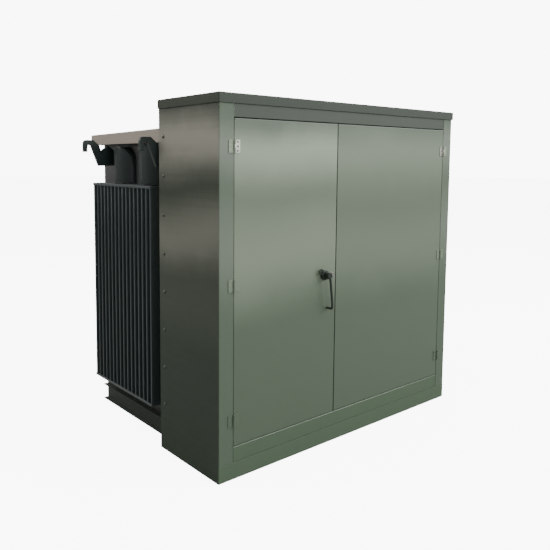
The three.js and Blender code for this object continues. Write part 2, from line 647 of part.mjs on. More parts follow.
const fuseLevel = cabinet.height - highVoltage.drop;
function fuseHousings() {
  const near = wallFace - joint;
  const reach = highVoltage.pitch + fuseTube.margin;
  const across = [highMiddle - reach, highMiddle + reach];
  const rise = [fuseLevel - fuseTube.half, fuseLevel + fuseTube.half];
  const backing = block(across, [near - fuseTube.plate, near], rise);
  const place = (i) => [highMiddle + (i - 1) * highVoltage.pitch, fuseLevel];
  const outer = fuseTube.bore + fuseTube.wall;
  const tubes = phases.map((_, i) => round('y', outer, [near - fuseTube.reach, near], place(i)));
  const bores = phases.map((_, i) => (
    round('y', fuseTube.bore, [near - fuseTube.reach - 1, near - fuseTube.plate], place(i))
  ));
  return cut(join(backing, ...tubes), ...bores);
}
add('fuse_housings', fuseHousings(), finishes.epoxy);

phases.forEach((phase, i) => {
  const x = highMiddle + (i - 1) * highVoltage.pitch;
  const seat = fuseTube.reach + joint;
  const end = fuseTube.plate + fuseTube.seat;
  const profile = [
    [0, end], [fuseTube.fuse, end], [fuseTube.fuse, seat], [fuseTube.bore + fuseTube.wall, seat],
    [fuseTube.bore + fuseTube.wall, seat + 12], [12, seat + 16], [9, seat + 32], [0, seat + 32],
  ];
  const eye = ring(13, 4, [x, wallFace - joint - seat - 44, fuseLevel], [0, Math.PI / 2, 0]);
  add(`bayonet_fuse_${phase}`, join(turned(profile, x, fuseLevel), eye), finishes.stainless);
});

// A shaft, hub and cross grip, turned by hand or hot stick, standing on the wall at (x, z).
function gripHandle(x, z, radius, grip, lean) {
  const knob = turned([[0, 0], [radius, 0], [radius, 14], [12, 20], [12, 60], [0, 60]], x, z);
  const bar = new THREE.BoxGeometry(grip, 16, 22);
  bar.rotateY(lean).translate(x, wallFace - joint - 62, z);
  return join(knob, solid(bar));
}
const switchPlace = [highMiddle - highVoltage.pitch / 2, (fuseLevel + highVoltage.height) / 2 - 10];
const tapPlace = [highMiddle + highVoltage.pitch / 2, switchPlace[1]];
add('switch_handle', gripHandle(...switchPlace, 42, 130, 0), finishes.darkSteel);
add('tap_handle', gripHandle(...tapPlace, 34, 76, Math.PI / 2), finishes.brass);

// ---- Low-voltage compartment, behind the right door ----
const lowMiddle = (postInner + door.meeting + barrier.flange) / 2;
[0, 1, 2, 3].forEach((i) => {
  const x = lowMiddle + (i - 1.5) * lowVoltage.pitch;
  const z = lowVoltage.height;
  const near = lowVoltage.reach;
  const profile = [[0, 0], [58, 0], [58, 12], [40, 18], [36, near - 16], [24, near], [0, near]];
  const body = turned(profile, x, z);
  const root = wallFace - joint - near;
  const tip = root - spade.length;
  const half = spade.thick / 2;
  const blade = block([x - half, x + half], [tip, root + spade.sunk], [z - spade.half, z + spade.half]);
  const through = [x - half - 1, x + half + 1];
  const holes = [-1, 1].flatMap((row) => [0, 1, 2].map((step) => {
    const y = tip + spade.first + step * spade.step;
    return round('x', spade.hole, through, [y, z + row * spade.row], 8);
  }));
  add(`lv_bushing_${i}`, join(body, cut(blade, ...holes)), finishes.brass);
});

const gaugeLevel = cabinet.height - gauges.drop;
const gaugeX = (step) => lowMiddle + (step - 1.5) * gauges.pitch;
// Stem, case and a bezel that stands proud of the dial.
const gaugeProfile = (r, depth) => [
  [0, 0], [r * 0.6, 0], [r * 0.6, 14], [r, 18], [r, depth],
  [r - 5, depth], [r - 5, depth - 4], [0, depth - 4],
];
add('level_gauge', turned(gaugeProfile(55, 46), gaugeX(0), gaugeLevel), finishes.gauge);
add('thermometer', turned(gaugeProfile(50, 46), gaugeX(1), gaugeLevel), finishes.gauge);
add('pressure_gauge', turned(gaugeProfile(36, 40), gaugeX(2), gaugeLevel), finishes.gauge);

// Relief valve: its cap opens outwards against a spring, and the ring lets a hand or stick pull it.
const reliefPlace = [gaugeX(3), gaugeLevel];
const reliefProfile = [[0, 0], [24, 0], [24, 12], [17, 14], [17, relief.cap], [0, relief.cap]];
add('relief_valve', turned(reliefProfile, ...reliefPlace), finishes.brass);
function reliefPull() {
  const start = relief.cap + joint;
  const profile = [
    [0, start], [13, start], [13, start + 5], [4, start + 6], [4, start + 16], [0, start + 16],
  ];
  const eyeY = wallFace - joint - start - 25;
  const eye = ring(relief.eye, relief.wire, [reliefPlace[0], eyeY, gaugeLevel], [0, Math.PI / 2, 0]);
  return join(turned(profile, ...reliefPlace, 14), eye);
}
add('relief_ring', reliefPull(), finishes.stainless);

// Drain valve: body and bonnet on the wall, low down beside the post, and a hand wheel on top.
const drainX = inside - backFrame.wing - drain.inset;
const drainY = wallFace - joint - drain.stand;
function drainValve() {
  const profile = [[0, 0], [34, 0], [34, 10], [17, 12], [17, drain.reach], [0, drain.reach]];
  const ball = solid(new THREE.SphereGeometry(drain.ball, 14, 10).translate(drainX, drainY, drain.level));
  const bonnet = round('z', drain.stem, [drain.level, drain.level + drain.bonnet], [drainX, drainY], 14);
  return join(turned(profile, drainX, drain.level), ball, bonnet);
}
add('drain_valve', drainValve(), finishes.brass);
function drainWheel() {
  const foot = drain.level + drain.bonnet + joint;
  const rimZ = foot + 12;
  const rim = ring(drain.wheel, drain.rim, [drainX, drainY, rimZ]);
  const spokes = [0, 1].map((turn) => {
    const bar = new THREE.BoxGeometry(2 * drain.wheel, 7, drain.rim);
    return solid(bar.rotateZ((turn * Math.PI) / 2).translate(drainX, drainY, rimZ));
  });
  return join(rim, ...spokes, round('z', 9, [foot, rimZ + drain.rim], [drainX, drainY], 12));
}
add('drain_valve_wheel', drainWheel(), finishes.darkSteel);

const plateX = lowMiddle;
const plateZ = gaugeLevel - plate.above;
const plateBack = wallFace - joint;
const plateSpan = [plateX - plate.width / 2, plateX + plate.width / 2];
const plateRise = [plateZ - plate.height / 2, plateZ + plate.height / 2];
add('nameplate', block(plateSpan, [plateBack - plate.thick, plateBack], plateRise), finishes.gauge);

// ---- Origin at the centre of the footprint, on the pad ----
const bounds = new THREE.Box3().setFromObject(unit);
const centre = bounds.getCenter(new THREE.Vector3());
unit.position.set(-centre.x, -centre.y, -bounds.min.z);
unit.updateMatrixWorld(true);

export default unit;
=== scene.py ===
# %% [markdown]
# # A pad-mounted transformer
# A steel terminal cabinet with a hood and two doors stands in front of an oil tank. A fin radiator
# hangs on each side of the tank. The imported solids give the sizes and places, and this lesson builds
# the finishes and the small shapes around them.

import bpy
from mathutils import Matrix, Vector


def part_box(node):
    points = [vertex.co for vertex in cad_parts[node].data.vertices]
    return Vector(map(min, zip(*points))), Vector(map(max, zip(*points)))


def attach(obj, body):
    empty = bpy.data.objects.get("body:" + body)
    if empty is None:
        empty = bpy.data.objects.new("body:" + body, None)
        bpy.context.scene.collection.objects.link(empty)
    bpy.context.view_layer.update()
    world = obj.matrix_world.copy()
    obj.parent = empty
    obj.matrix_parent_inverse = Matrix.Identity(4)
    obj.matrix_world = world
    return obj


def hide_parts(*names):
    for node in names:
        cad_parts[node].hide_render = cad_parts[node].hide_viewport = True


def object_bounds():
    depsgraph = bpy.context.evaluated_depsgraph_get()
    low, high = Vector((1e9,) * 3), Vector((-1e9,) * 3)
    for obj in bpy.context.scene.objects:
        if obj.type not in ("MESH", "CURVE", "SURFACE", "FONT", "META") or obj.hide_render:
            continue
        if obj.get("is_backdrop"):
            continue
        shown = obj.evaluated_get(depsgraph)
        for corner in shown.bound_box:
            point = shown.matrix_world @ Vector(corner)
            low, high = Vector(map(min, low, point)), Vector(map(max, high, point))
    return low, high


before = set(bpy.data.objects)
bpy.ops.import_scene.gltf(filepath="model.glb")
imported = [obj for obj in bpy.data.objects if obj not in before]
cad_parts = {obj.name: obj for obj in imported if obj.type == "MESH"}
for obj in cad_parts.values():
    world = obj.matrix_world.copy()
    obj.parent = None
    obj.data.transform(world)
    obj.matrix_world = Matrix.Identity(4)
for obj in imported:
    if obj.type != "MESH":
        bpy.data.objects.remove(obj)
cad_low, cad_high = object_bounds()
print("solids:", len(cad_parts), "box:", cad_low, cad_high)

# %% Python's own helpers
import math

import bmesh
import bpy
from mathutils import Matrix, Vector

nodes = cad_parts
scene = bpy.context.scene
MM = 0.001

# %% [markdown]
# ## Camera, floor and light
# The camera stands at eye height, off the left front corner. A steep tilt would make the uprights lean,
# so the dip is small, and a lens shift puts the unit where it belongs in the frame.

# %% Camera
EYE = Vector((-2.6374, -2.9513, 1.5325))
HEADING, DIP, ROLL = math.radians(38.68), math.radians(5.194), math.radians(0.218)
LENS, SENSOR = 40.87, 36.0
SHIFT_RIGHT, SHIFT_UP = 0.0695, -0.102
NEAREST, FARTHEST = 0.05, 200.0


def make_camera():
    level = math.cos(DIP)
    ahead = Vector((math.sin(HEADING) * level, math.cos(HEADING) * level, -math.sin(DIP)))
    right = ahead.cross(Vector((0, 0, 1))).normalized()
    up = right.cross(ahead)
    across = right * math.cos(ROLL) + up * math.sin(ROLL)
    upright = across.cross(ahead)
    turn = Matrix((across, upright, -ahead)).transposed().to_4x4()
    lens = bpy.data.cameras.new("camera")
    lens.lens, lens.sensor_width = LENS, SENSOR
    lens.shift_x, lens.shift_y = SHIFT_RIGHT, SHIFT_UP
    lens.clip_start, lens.clip_end = NEAREST, FARTHEST
    camera = bpy.data.objects.new("camera", lens)
    camera.matrix_world = Matrix.Translation(EYE) @ turn
    scene.collection.objects.link(camera)
    scene.camera = camera


make_camera()
print("camera at", EYE)

# %% [markdown]
# ## The workshop
# A shape could be typed in as lists of points, but nobody could follow how it was made. Here each one
# starts from a primitive and is shaped in edit mode. An operator works on all that is selected, so
# every helper clears the selection first, and picks faces or edges by their place.

# %% Selection helpers
def select_nothing():
    """Leaves edit mode, and clears the selection."""
    if bpy.context.mode != "OBJECT":
        bpy.ops.object.mode_set(mode="OBJECT")
    bpy.ops.object.select_all(action="DESELECT")


def lone(piece):
    """Makes one object the only selected one."""
    select_nothing()
    piece.select_set(True)
    bpy.context.view_layer.objects.active = piece


def pick(piece, kind, test=None):
    """Opens edit mode with only what passes the test selected, or all of it, and counts it."""
    lone(piece)
    bpy.ops.object.mode_set(mode="EDIT")
    bpy.ops.mesh.select_mode(type=kind)
    bpy.ops.mesh.select_all(action="DESELECT")
    mesh = bmesh.from_edit_mesh(piece.data)
    count = 0
    for part in mesh.edges if kind == "EDGE" else mesh.faces:
        if test is None or test(part):
            part.select_set(True)
            count += 1
    bmesh.update_edit_mesh(piece.data)
    return count


def done():
    """Leaves edit mode."""
    bpy.ops.object.mode_set(mode="OBJECT")


def settle(piece):
    """Puts a piece's place into its mesh, so that its object sits at the origin."""
    lone(piece)
    bpy.ops.object.transform_apply(location=True, rotation=True, scale=True)
    return piece


# %% Primitive helpers
def cuboid(name, low, high):
    """A block between its lowest and its highest corner."""
    low, high = Vector(low), Vector(high)
    select_nothing()
    bpy.ops.mesh.primitive_cube_add(size=1, location=(low + high) / 2)
    piece = bpy.context.object
    piece.name, piece.scale = name, high - low
    return settle(piece)


def drum(name, start, end, radius, sides=24):
    """A round or many-sided bar between two points."""
    start, end = Vector(start), Vector(end)
    select_nothing()
    bpy.ops.mesh.primitive_cone_add(
        vertices=sides, radius1=radius, radius2=radius,
        depth=(end - start).length, location=(start + end) / 2,
        rotation=(end - start).to_track_quat("Z", "Y").to_euler(),
    )
    piece = bpy.context.object
    piece.name = name
    return settle(piece)


def joined(name, pieces):
    """One object made of several, under one name."""
    lone(pieces[0])
    for piece in pieces[1:]:
        piece.select_set(True)
    bpy.ops.object.join()
    pieces[0].name = name
    return pieces[0]


def copied(piece, name, move=(0, 0, 0)):
    """A copy with its own mesh, moved in the mesh itself."""
    twin = bpy.data.objects.new(name, piece.data.copy())
    twin.data.transform(Matrix.Translation(Vector(move)))
    scene.collection.objects.link(twin)
    return twin


def modified(piece, kind, **settings):
    """Adds a modifier, sets it and applies it."""
    lone(piece)
    step = piece.modifiers.new(kind.lower(), kind)
    for name, value in settings.items():
        setattr(step, name, value)
    bpy.ops.object.modifier_apply(modifier=step.name)
    return piece


# %% [markdown]
# White paper under the unit would fill every shadow on its sides. So the floor and the room look pale
# to the camera, and give back less light than they seem to, as dark flags do beside a studio set.

# %% Floor
FLOOR_SPAN, FLOOR_GAP = 120, 1 * MM
PAPER, PAPER_GLOW = (0.86, 0.86, 0.85, 1), 8.0
DARK_FLAG = (0.3, 0.31, 0.3, 1)
ROOM_GLOW, ROOM_TINT, ROOM_LIGHT = 9.0, (0.95, 0.98, 1.0, 1), 0.3
WHITE = (1, 1, 1, 1)


def two_faced(tree, seen, felt, target):
    """The camera sees one shader; every other ray meets the other."""
    rays = tree.nodes.new("ShaderNodeLightPath")
    choice = tree.nodes.new("ShaderNodeMixShader")
    tree.links.new(rays.outputs["Is Camera Ray"], choice.inputs["Fac"])
    tree.links.new(felt, choice.inputs[1])
    tree.links.new(seen, choice.inputs[2])
    tree.links.new(choice.outputs["Shader"], target)


def make_floor():
    select_nothing()
    bpy.ops.mesh.primitive_plane_add(size=FLOOR_SPAN, location=(0, 0, cad_low.z - FLOOR_GAP))
    floor = bpy.context.object
    floor.name = "studio_floor"
    material = bpy.data.materials.new("studio_floor")
    material.use_nodes = True
    tree = material.node_tree
    seen = tree.nodes["Principled BSDF"]
    seen.inputs["Base Color"].default_value = PAPER
    seen.inputs["Roughness"].default_value = 0.8
    seen.inputs["Emission Color"].default_value = WHITE
    seen.inputs["Emission Strength"].default_value = PAPER_GLOW
    felt = tree.nodes.new("ShaderNodeBsdfDiffuse")
    felt.inputs["Color"].default_value = DARK_FLAG
    surface = tree.nodes["Material Output"].inputs["Surface"]
    two_faced(tree, seen.outputs["BSDF"], felt.outputs["BSDF"], surface)
    floor.data.materials.append(material)
    settle(floor)
    floor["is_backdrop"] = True
    print("floor:", FLOOR_SPAN, "m square")


make_floor()

# %% [markdown]
# Small lamps would leave hard spots on gloss paint. Three broad soft boxes and a weak fill give it long
# soft gradients.

# %% Lights
def make_light(name, place, aim, size, power, colour=(1, 1, 1)):
    """A soft box at a place, turned towards an aim; its power is in watts."""
    lamp = bpy.data.lights.new(name, "AREA")
    lamp.shape, lamp.size, lamp.size_y = "RECTANGLE", size[0], size[1]
    lamp.energy, lamp.color = power, colour
    light = bpy.data.objects.new(name, lamp)
    light.location = place
    light.rotation_euler = (Vector(aim) - Vector(place)).to_track_quat("-Z", "Y").to_euler()
    scene.collection.objects.link(light)
    print("light:", name, power, "W")


MIDDLE = (cad_low + cad_high) / 2
make_light("ceiling", (-0.4, -0.4, 5.6), MIDDLE, (7, 6), 330)
make_light("front_right", (4.9, -5.6, 4.4), (0.4, -0.7, 1.3), (6.5, 3.6), 620)
make_light("back_left", (-5.2, 4.2, 4.6), (-0.9, 0.0, 1.3), (4.6, 3.2), 240, (1.0, 0.93, 0.84))
make_light("front_fill", (-1.2, -5.6, 2.2), (0.0, -0.7, 1.0), (3.2, 2.6), 110)

# %% Room light
def make_room():
    room = bpy.data.worlds.new("room")
    room.use_nodes = True
    tree = room.node_tree
    seen = tree.nodes.new("ShaderNodeBackground")
    seen.inputs["Color"].default_value = WHITE
    seen.inputs["Strength"].default_value = ROOM_GLOW
    felt = tree.nodes["Background"]
    felt.inputs["Color"].default_value = ROOM_TINT
    felt.inputs["Strength"].default_value = ROOM_LIGHT
    surface = tree.nodes["World Output"].inputs["Surface"]
    two_faced(tree, seen.outputs["Background"], felt.outputs["Background"], surface)
    scene.world = room
    print("room light:", ROOM_LIGHT)


make_room()

# %% [markdown]
# ## Finishes
# A finish is a graph of shader nodes. Linked by hand, its maths would be lost in the links. So one small
# class wraps a socket, and Python's own signs add the Math nodes. One method makes any other node.

# %% Shader helpers
MIX_SHARE, MIX_FIRST, MIX_SECOND, MIX_COLOUR = 0, 6, 7, 2


class Wire:
    """One output socket of a finish."""

    def __init__(self, finish, socket):
        self.finish = finish
        self.socket = socket

    def signed(self, operation, first, second):
        return self.finish.node("ShaderNodeMath", {"operation": operation}, {0: first, 1: second})

    def __add__(self, other):
        return self.signed("ADD", self, other)

    def __sub__(self, other):
        return self.signed("SUBTRACT", self, other)

    def __rsub__(self, other):
        return self.signed("SUBTRACT", other, self)

    def __mul__(self, other):
        return self.signed("MULTIPLY", self, other)

    __radd__ = __add__
    __rmul__ = __mul__


class Finish:
    """A material whose nodes are made one by one."""

    def __init__(self, name):
        self.material = bpy.data.materials.new(name)
        self.material.use_nodes = True
        self.tree = self.material.node_tree
        self.shader = self.tree.nodes["Principled BSDF"]
        self.place = self.node("ShaderNodeTexCoord", out="Object")

    def feed(self, socket, value):
        """Links a wire to a socket, or sets a constant straight on it."""
        if isinstance(value, Wire):
            self.tree.links.new(value.socket, socket)
        else:
            socket.default_value = value

    def node(self, kind, settings=None, values=None, out=0):
        """Any node: its settings first, then its sockets' values or links."""
        node = self.tree.nodes.new(kind)
        for name, value in (settings or {}).items():
            setattr(node, name, value)
        for name, value in (values or {}).items():
            self.feed(node.inputs[name], value)
        return Wire(self, node.outputs[out])

    def noise(self, scale, detail=2.0, place=None):
        """Grey noise with so many waves to a metre."""
        values = {"Vector": place or self.place, "Scale": scale, "Detail": detail}
        return self.node("ShaderNodeTexNoise", None, values, "Fac")

    def between(self, value, low, high):
        """0 below low, 1 above high, smooth in between."""
        values = {"Value": value, "From Min": low, "From Max": high}
        return self.node("ShaderNodeMapRange", {"interpolation_type": "SMOOTHSTEP"}, values)

    def band(self, value, low, peak, high):
        """0 outside low and high, 1 at the peak."""
        return self.between(value, low, peak) * (1 - self.between(value, peak, high))

    def mixed(self, share, first, second):
        """The first colour where the share is 0, the second where it is 1."""
        values = {MIX_SHARE: share, MIX_FIRST: first, MIX_SECOND: second}
        return self.node("ShaderNodeMix", {"data_type": "RGBA"}, values, MIX_COLOUR)

    def stretched(self, scale):
        """The place on the piece, scaled by its own factor along each axis."""
        return self.node("ShaderNodeMapping", None, {"Vector": self.place, "Scale": scale})

    def axis(self, name):
        """One coordinate of the place, in metres."""
        return self.node("ShaderNodeSeparateXYZ", None, {"Vector": self.place}, name)

    def bump(self, height):
        """A height in metres, seen by the light only."""
        return self.node("ShaderNodeBump", None, {"Height": height, "Distance": 1.0})

    def shade(self, **values):
        """Feeds the shader's sockets, named with underscores."""
        for name, value in values.items():
            socket = name.replace("_", " ").title().replace("Ior", "IOR")
            self.feed(self.shader.inputs[socket], value)


def tone(red, green, blue):
    return (red, green, blue, 1.0)


# %% [markdown]
# ### Paint
# Sprayed semi-gloss enamel dries with a fine orange peel, thin sheet bows a little between its folds,
# and dust settles low down. All three are heights or masks made from noise at their real sizes.
# Upright sheet also mirrors the bright and dark parts of its hall. A hall built round the unit would show,
# so these reflections are painted into the enamel's colour instead: a pale tone in a few level bands, each
# with a foot, a peak, a top and a strength. Where no base share is given, the pale tone also grows with
# height, a painted sheen of the light from above.

# %% Paint maker
BOW, CLOUD, PEEL, BRUSH = 1.1, 7.0, 420.0, (0.7, 0.7, 46.0)
PEEL_HEIGHT, STREAK_HEIGHT = 6e-6, 2e-4
DUST, DUST_TOP, DUST_SHARE = tone(0.13, 0.125, 0.1), 0.3, 0.08
LACQUER_ROUGHNESS = 0.14


def paint(name, deep, pale, gloss, coat=0.35, specular=0.5, base=None, reflection_bands=(), sag=2e-4, streak=0.0):
    """Enamel with painted reflections in level bands, and a painted sheen growing with height where base is
    None.
    """
    finish = Finish(name)
    broad = finish.noise(BOW, 1.5)
    cloud = finish.noise(CLOUD, 4.0)
    grain = finish.noise(PEEL, 2.0)
    brushed = finish.noise(1.0, 3.0, finish.stretched(BRUSH))
    height = finish.axis("Z")
    low_dust = (1 - finish.between(height, 0.0, DUST_TOP)) * finish.between(cloud, 0.4, 0.75)
    drift = 0.24 * (broad - 0.5) + 0.05 * (cloud - 0.5) + 0.3 * streak * (brushed - 0.5)
    # The pale tone is painted light: a fixed base share, or else a painted sheen that grows with height, and
    # each band adds a painted reflection.
    share = base if base is not None else finish.between(height + drift, 0.1, 1.7)
    for foot, peak, top, strength in reflection_bands:
        share = share + strength * finish.band(height + drift, foot, peak, top)
    colour = finish.mixed(share, tone(*deep), tone(*pale))
    finish.shade(
        base_color=finish.mixed(low_dust * DUST_SHARE, colour, DUST),
        roughness=gloss + 0.07 * cloud + streak * brushed + 0.2 * low_dust,
        coat_weight=coat,
        coat_roughness=LACQUER_ROUGHNESS,
        specular_ior_level=specular,
        normal=finish.bump(broad * sag + grain * PEEL_HEIGHT + brushed * (streak * STREAK_HEIGHT)),
    )
    return finish.material


# %% Enamels
# The cabinet has one real green enamel. Its rows here are copies of it, toned for the light on each part:
# painted light and painted shade. The side, header and hood are darker, the post, sill and toe rail lighter.
# The doors and painted hinges carry painted reflection bands, given as foot, peak, top and strength. Where
# no base is given, the pale tone grows with height as a painted sheen, strongly on the tank and faintly
# elsewhere.
SIDE_REFLECTIONS = [(0.55, 0.85, 1.95, 0.07), (0.95, 1.19, 1.43, 0.42), (1.4, 1.65, 1.83, 0.82)]
LEFT_REFLECTIONS = [(0.7, 1.07, 1.6, 0.42), (1.32, 1.6, 1.77, 0.74)]
RIGHT_REFLECTIONS = [(0.7, 1.06, 1.5, 0.24), (1.2, 1.57, 1.77, 0.36)]
POST_REFLECTIONS = [(0.78, 1.1, 1.5, 0.38), (1.36, 1.63, 1.8, 0.58)]
DOOR_GREEN, DOOR_PALE = (0.055, 0.08, 0.052), (0.3, 0.35, 0.262)
DOOR_LOOK = {"coat": 0.2, "specular": 0.4, "base": 0.1, "sag": 1.4e-4, "streak": 0.06}
DULL = {"coat": 0.0, "specular": 0.22}
ENAMELS = {
    "cabinet_paint": ((0.05, 0.068, 0.046), (0.07, 0.086, 0.062), 0.34, {}),
    "side_paint": ((0.007, 0.022, 0.009), (0.3, 0.295, 0.25), 0.3,
                   {"coat": 0.18, "specular": 0.4, "base": 0.05, "reflection_bands": SIDE_REFLECTIONS, "streak": 0.16}),
    "post_paint": ((0.06, 0.09, 0.057), (0.2, 0.225, 0.185), 0.48,
                   {**DULL, "base": 0.19, "reflection_bands": POST_REFLECTIONS}),
    "frame_paint": ((0.078, 0.112, 0.072), (0.086, 0.115, 0.08), 0.48, DULL),
    "header_paint": ((0.046, 0.06, 0.044), (0.05, 0.064, 0.048), 0.46, {"coat": 0.0, "specular": 0.24}),
    "hood_paint": ((0.034, 0.045, 0.033), (0.038, 0.049, 0.037), 0.48, {"coat": 0.0, "specular": 0.2}),
    "door_paint": (DOOR_GREEN, DOOR_PALE, 0.3, {**DOOR_LOOK, "reflection_bands": LEFT_REFLECTIONS}),
    "right_paint": (DOOR_GREEN, DOOR_PALE, 0.3, {**DOOR_LOOK, "reflection_bands": RIGHT_REFLECTIONS}),
    # The tank's pale tone near the top is a painted sheen.
    "tank_paint": ((0.014, 0.019, 0.018), (0.08, 0.083, 0.082), 0.3, {"sag": 3e-4}),
    # The cover's pale warm tone is a painted reflection.
    "cover_paint": ((0.29, 0.255, 0.215), (0.33, 0.295, 0.25), 0.42, {}),
    "radiator_paint": ((0.05, 0.064, 0.064), (0.068, 0.084, 0.084), 0.26, {"coat": 0.8}),
    "rail_paint": ((0.03, 0.042, 0.034), (0.06, 0.072, 0.058), 0.4, {"coat": 0.1}),
    "plate_paint": ((0.012, 0.02, 0.018), (0.017, 0.027, 0.025), 0.3, {"coat": 0.3}),
    "bolt_paint": ((0.04, 0.05, 0.04), (0.055, 0.064, 0.05), 0.3, {}),
    "hinge_paint": ((0.062, 0.09, 0.058), DOOR_PALE, 0.34,
                    {"coat": 0.1, "specular": 0.4, "base": 0.1, "reflection_bands": LEFT_REFLECTIONS}),
    "seam_shade": ((0.012, 0.018, 0.013), (0.016, 0.022, 0.017), 0.6, {"coat": 0.0}),
    # A paler tone for the lit fold rounds: a painted highlight.
    "worn_edge": ((0.3, 0.33, 0.28), (0.34, 0.36, 0.32), 0.3, {}),
}
finishes = {}
for name, (deep, pale, gloss, look) in ENAMELS.items():
    finishes[name] = paint(name, deep, pale, gloss, **look)
print("enamels:", len(finishes))

# %% [markdown]
# ### Bare metals
# Steel and brass fittings are drawn or turned, which leaves fine lines. One tone would shine like
# chrome, so a stretched noise breaks up tone and shine, and the deep tone comes back as tarnish.

# %% Metal maker
GRAIN, GRAIN_HEIGHT, STAIN = (40.0, 40.0, 900.0), 4e-6, 60.0


def metal(name, deep, pale, rough, grain=GRAIN, metallic=1.0, tarnish=0.0):
    """Drawn or turned metal, with tarnish from 0 to 1."""
    finish = Finish(name)
    drawn = finish.noise(1.0, 2.0, finish.stretched(grain))
    stain = finish.between(finish.noise(STAIN, 4.0), 0.45, 0.7)
    colour = finish.mixed(drawn, tone(*deep), tone(*pale))
    finish.shade(
        base_color=finish.mixed(stain * tarnish, colour, tone(*deep)),
        metallic=metallic,
        roughness=rough + 0.12 * drawn + 0.2 * tarnish * stain,
        normal=finish.bump(drawn * GRAIN_HEIGHT),
    )
    return finish.material


# %% Metals
METALS = {
    "hinge_steel": ((0.4, 0.4, 0.36), (0.54, 0.54, 0.49), 0.34, {"tarnish": 0.2}),
    "plated_steel": ((0.4, 0.4, 0.37), (0.58, 0.57, 0.52), 0.32, {"tarnish": 0.5}),
    "dark_steel": ((0.018, 0.024, 0.019), (0.032, 0.04, 0.033), 0.28, {"metallic": 0.25}),
    "fuse_metal": ((0.55, 0.54, 0.5), (0.74, 0.73, 0.7), 0.25, {}),
    "terminal_brass": ((0.5, 0.38, 0.18), (0.68, 0.54, 0.28), 0.3, {"tarnish": 0.4}),
    "nameplate_metal": ((0.52, 0.52, 0.52), (0.7, 0.7, 0.7), 0.3, {"grain": (900.0, 40.0, 40.0)}),
    "core_steel": ((0.16, 0.17, 0.18), (0.26, 0.27, 0.29), 0.45, {"grain": (8.0, 2600.0, 8.0)}),
    "winding_copper": ((0.42, 0.2, 0.1), (0.62, 0.32, 0.18), 0.4, {"grain": (12.0, 12.0, 420.0)}),
}
for name, (deep, pale, rough, look) in METALS.items():
    finishes[name] = metal(name, deep, pale, rough, **look)
print("metals:", len(METALS))

# %% [markdown]
# ### Moulded finishes
# Cast epoxy, rubber and the dials' sheet aren't brushed: a soft mottle and a fine pebble are enough.

# %% Moulded finishes
MOTTLE, PEBBLE, PEBBLE_HEIGHT = 25.0, 1200.0, 2e-5


def moulded(name, deep, pale, rough, coat=0.0):
    """Cast or moulded stuff with a soft mottle."""
    finish = Finish(name)
    cloud = finish.noise(MOTTLE, 4.0)
    fine = finish.noise(PEBBLE, 1.0)
    finish.shade(
        base_color=finish.mixed(finish.between(cloud, 0.3, 0.7), tone(*deep), tone(*pale)),
        roughness=rough + 0.1 * cloud,
        coat_weight=coat,
        normal=finish.bump(fine * PEBBLE_HEIGHT),
    )
    finishes[name] = finish.material


moulded("epoxy", (0.105, 0.055, 0.035), (0.135, 0.075, 0.048), 0.32, coat=0.5)
moulded("gasket_rubber", (0.01, 0.01, 0.01), (0.02, 0.02, 0.02), 0.75)
moulded("gauge_face", (0.7, 0.7, 0.66), (0.8, 0.8, 0.77), 0.35, coat=0.4)
print("finishes in all:", len(finishes))

# %% [markdown]
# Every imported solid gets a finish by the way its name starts. Those that stay on show, such as the
# coils, keep it, and the shapes that stand for the others bring their own.

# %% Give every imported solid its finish
FINISH_WORDS = [
    ("cabinet_paint", "side_panel toe_rail sill_panel header_rail back_frame compartment_barrier"),
    ("door_paint", "left_door right_door"),
    ("tank_paint", "tank_body base_rail"),
    ("cover_paint", "tank_cover"),
    ("radiator_paint", "radiator lifting_hook"),
    ("hinge_steel", "hinge hood_hinge"),
    ("plated_steel", "latch_rod captive_bolt relief_ring"),
    ("dark_steel", "handle latch_cam switch_handle drain_valve_wheel"),
    ("epoxy", "hv_bushing fuse_housings"),
    ("fuse_metal", "bayonet_fuse"),
    ("terminal_brass", "lv_bushing relief_valve drain_valve tap_handle"),
    ("gasket_rubber", "cover_gasket"),
    ("gauge_face", "level_gauge thermometer pressure_gauge"),
    ("nameplate_metal", "nameplate"),
    ("core_steel", "core"),
    ("winding_copper", "coil"),
    ("cabinet_paint", "hood"),
]


def finish_for(name):
    """The first finish with a word that this name starts with."""
    for finish, words in FINISH_WORDS:
        if name.startswith(tuple(words.split())):
            return finishes[finish]
    raise KeyError(name)


for name, solid in nodes.items():
    if not solid.material_slots:
        solid.data.materials.append(finish_for(name))
    for slot in solid.material_slots:
        slot.material = finish_for(name)
print("solids with a finish:", len(nodes))

# %% [markdown]
# ## Sheet metal
# The outer side of a fold is round, and that thin round catches the light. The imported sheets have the
# right sizes but sharp folds, so each is copied, its loose triangles are merged into whole faces, and
# only its outer folds are bevelled.

# %% Merged copy and fold helpers
NEAR = 2e-5
FLAT_WITHIN = math.radians(0.5)
SHARP_ABOVE = 35


def merged_copy(node, name):
    """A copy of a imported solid, with whole faces."""
    piece = copied(nodes[node], name)
    lone(piece)
    bpy.ops.mesh.customdata_custom_splitnormals_clear()
    pick(piece, "FACE")
    bpy.ops.mesh.remove_doubles(threshold=NEAR / 2)
    bpy.ops.mesh.dissolve_limited(angle_limit=FLAT_WITHIN)
    done()
    return piece


def plane(axis, value):
    """A test of a point: does it lie on this plane?"""
    return lambda point: abs(point[axis] - value) < NEAR


def folded(piece, tests, radius, segments=3):
    """Rounds each edge that passes two of the tests of a point, and counts them."""
    def on_fold(edge):
        return sum(all(test(v.co) for v in edge.verts) for test in tests) >= 2

    count = pick(piece, "EDGE", on_fold)
    bpy.ops.mesh.bevel(offset=radius, segments=segments, affect="EDGES", clamp_overlap=False)
    done()
    print(piece.name, "folds:", count)


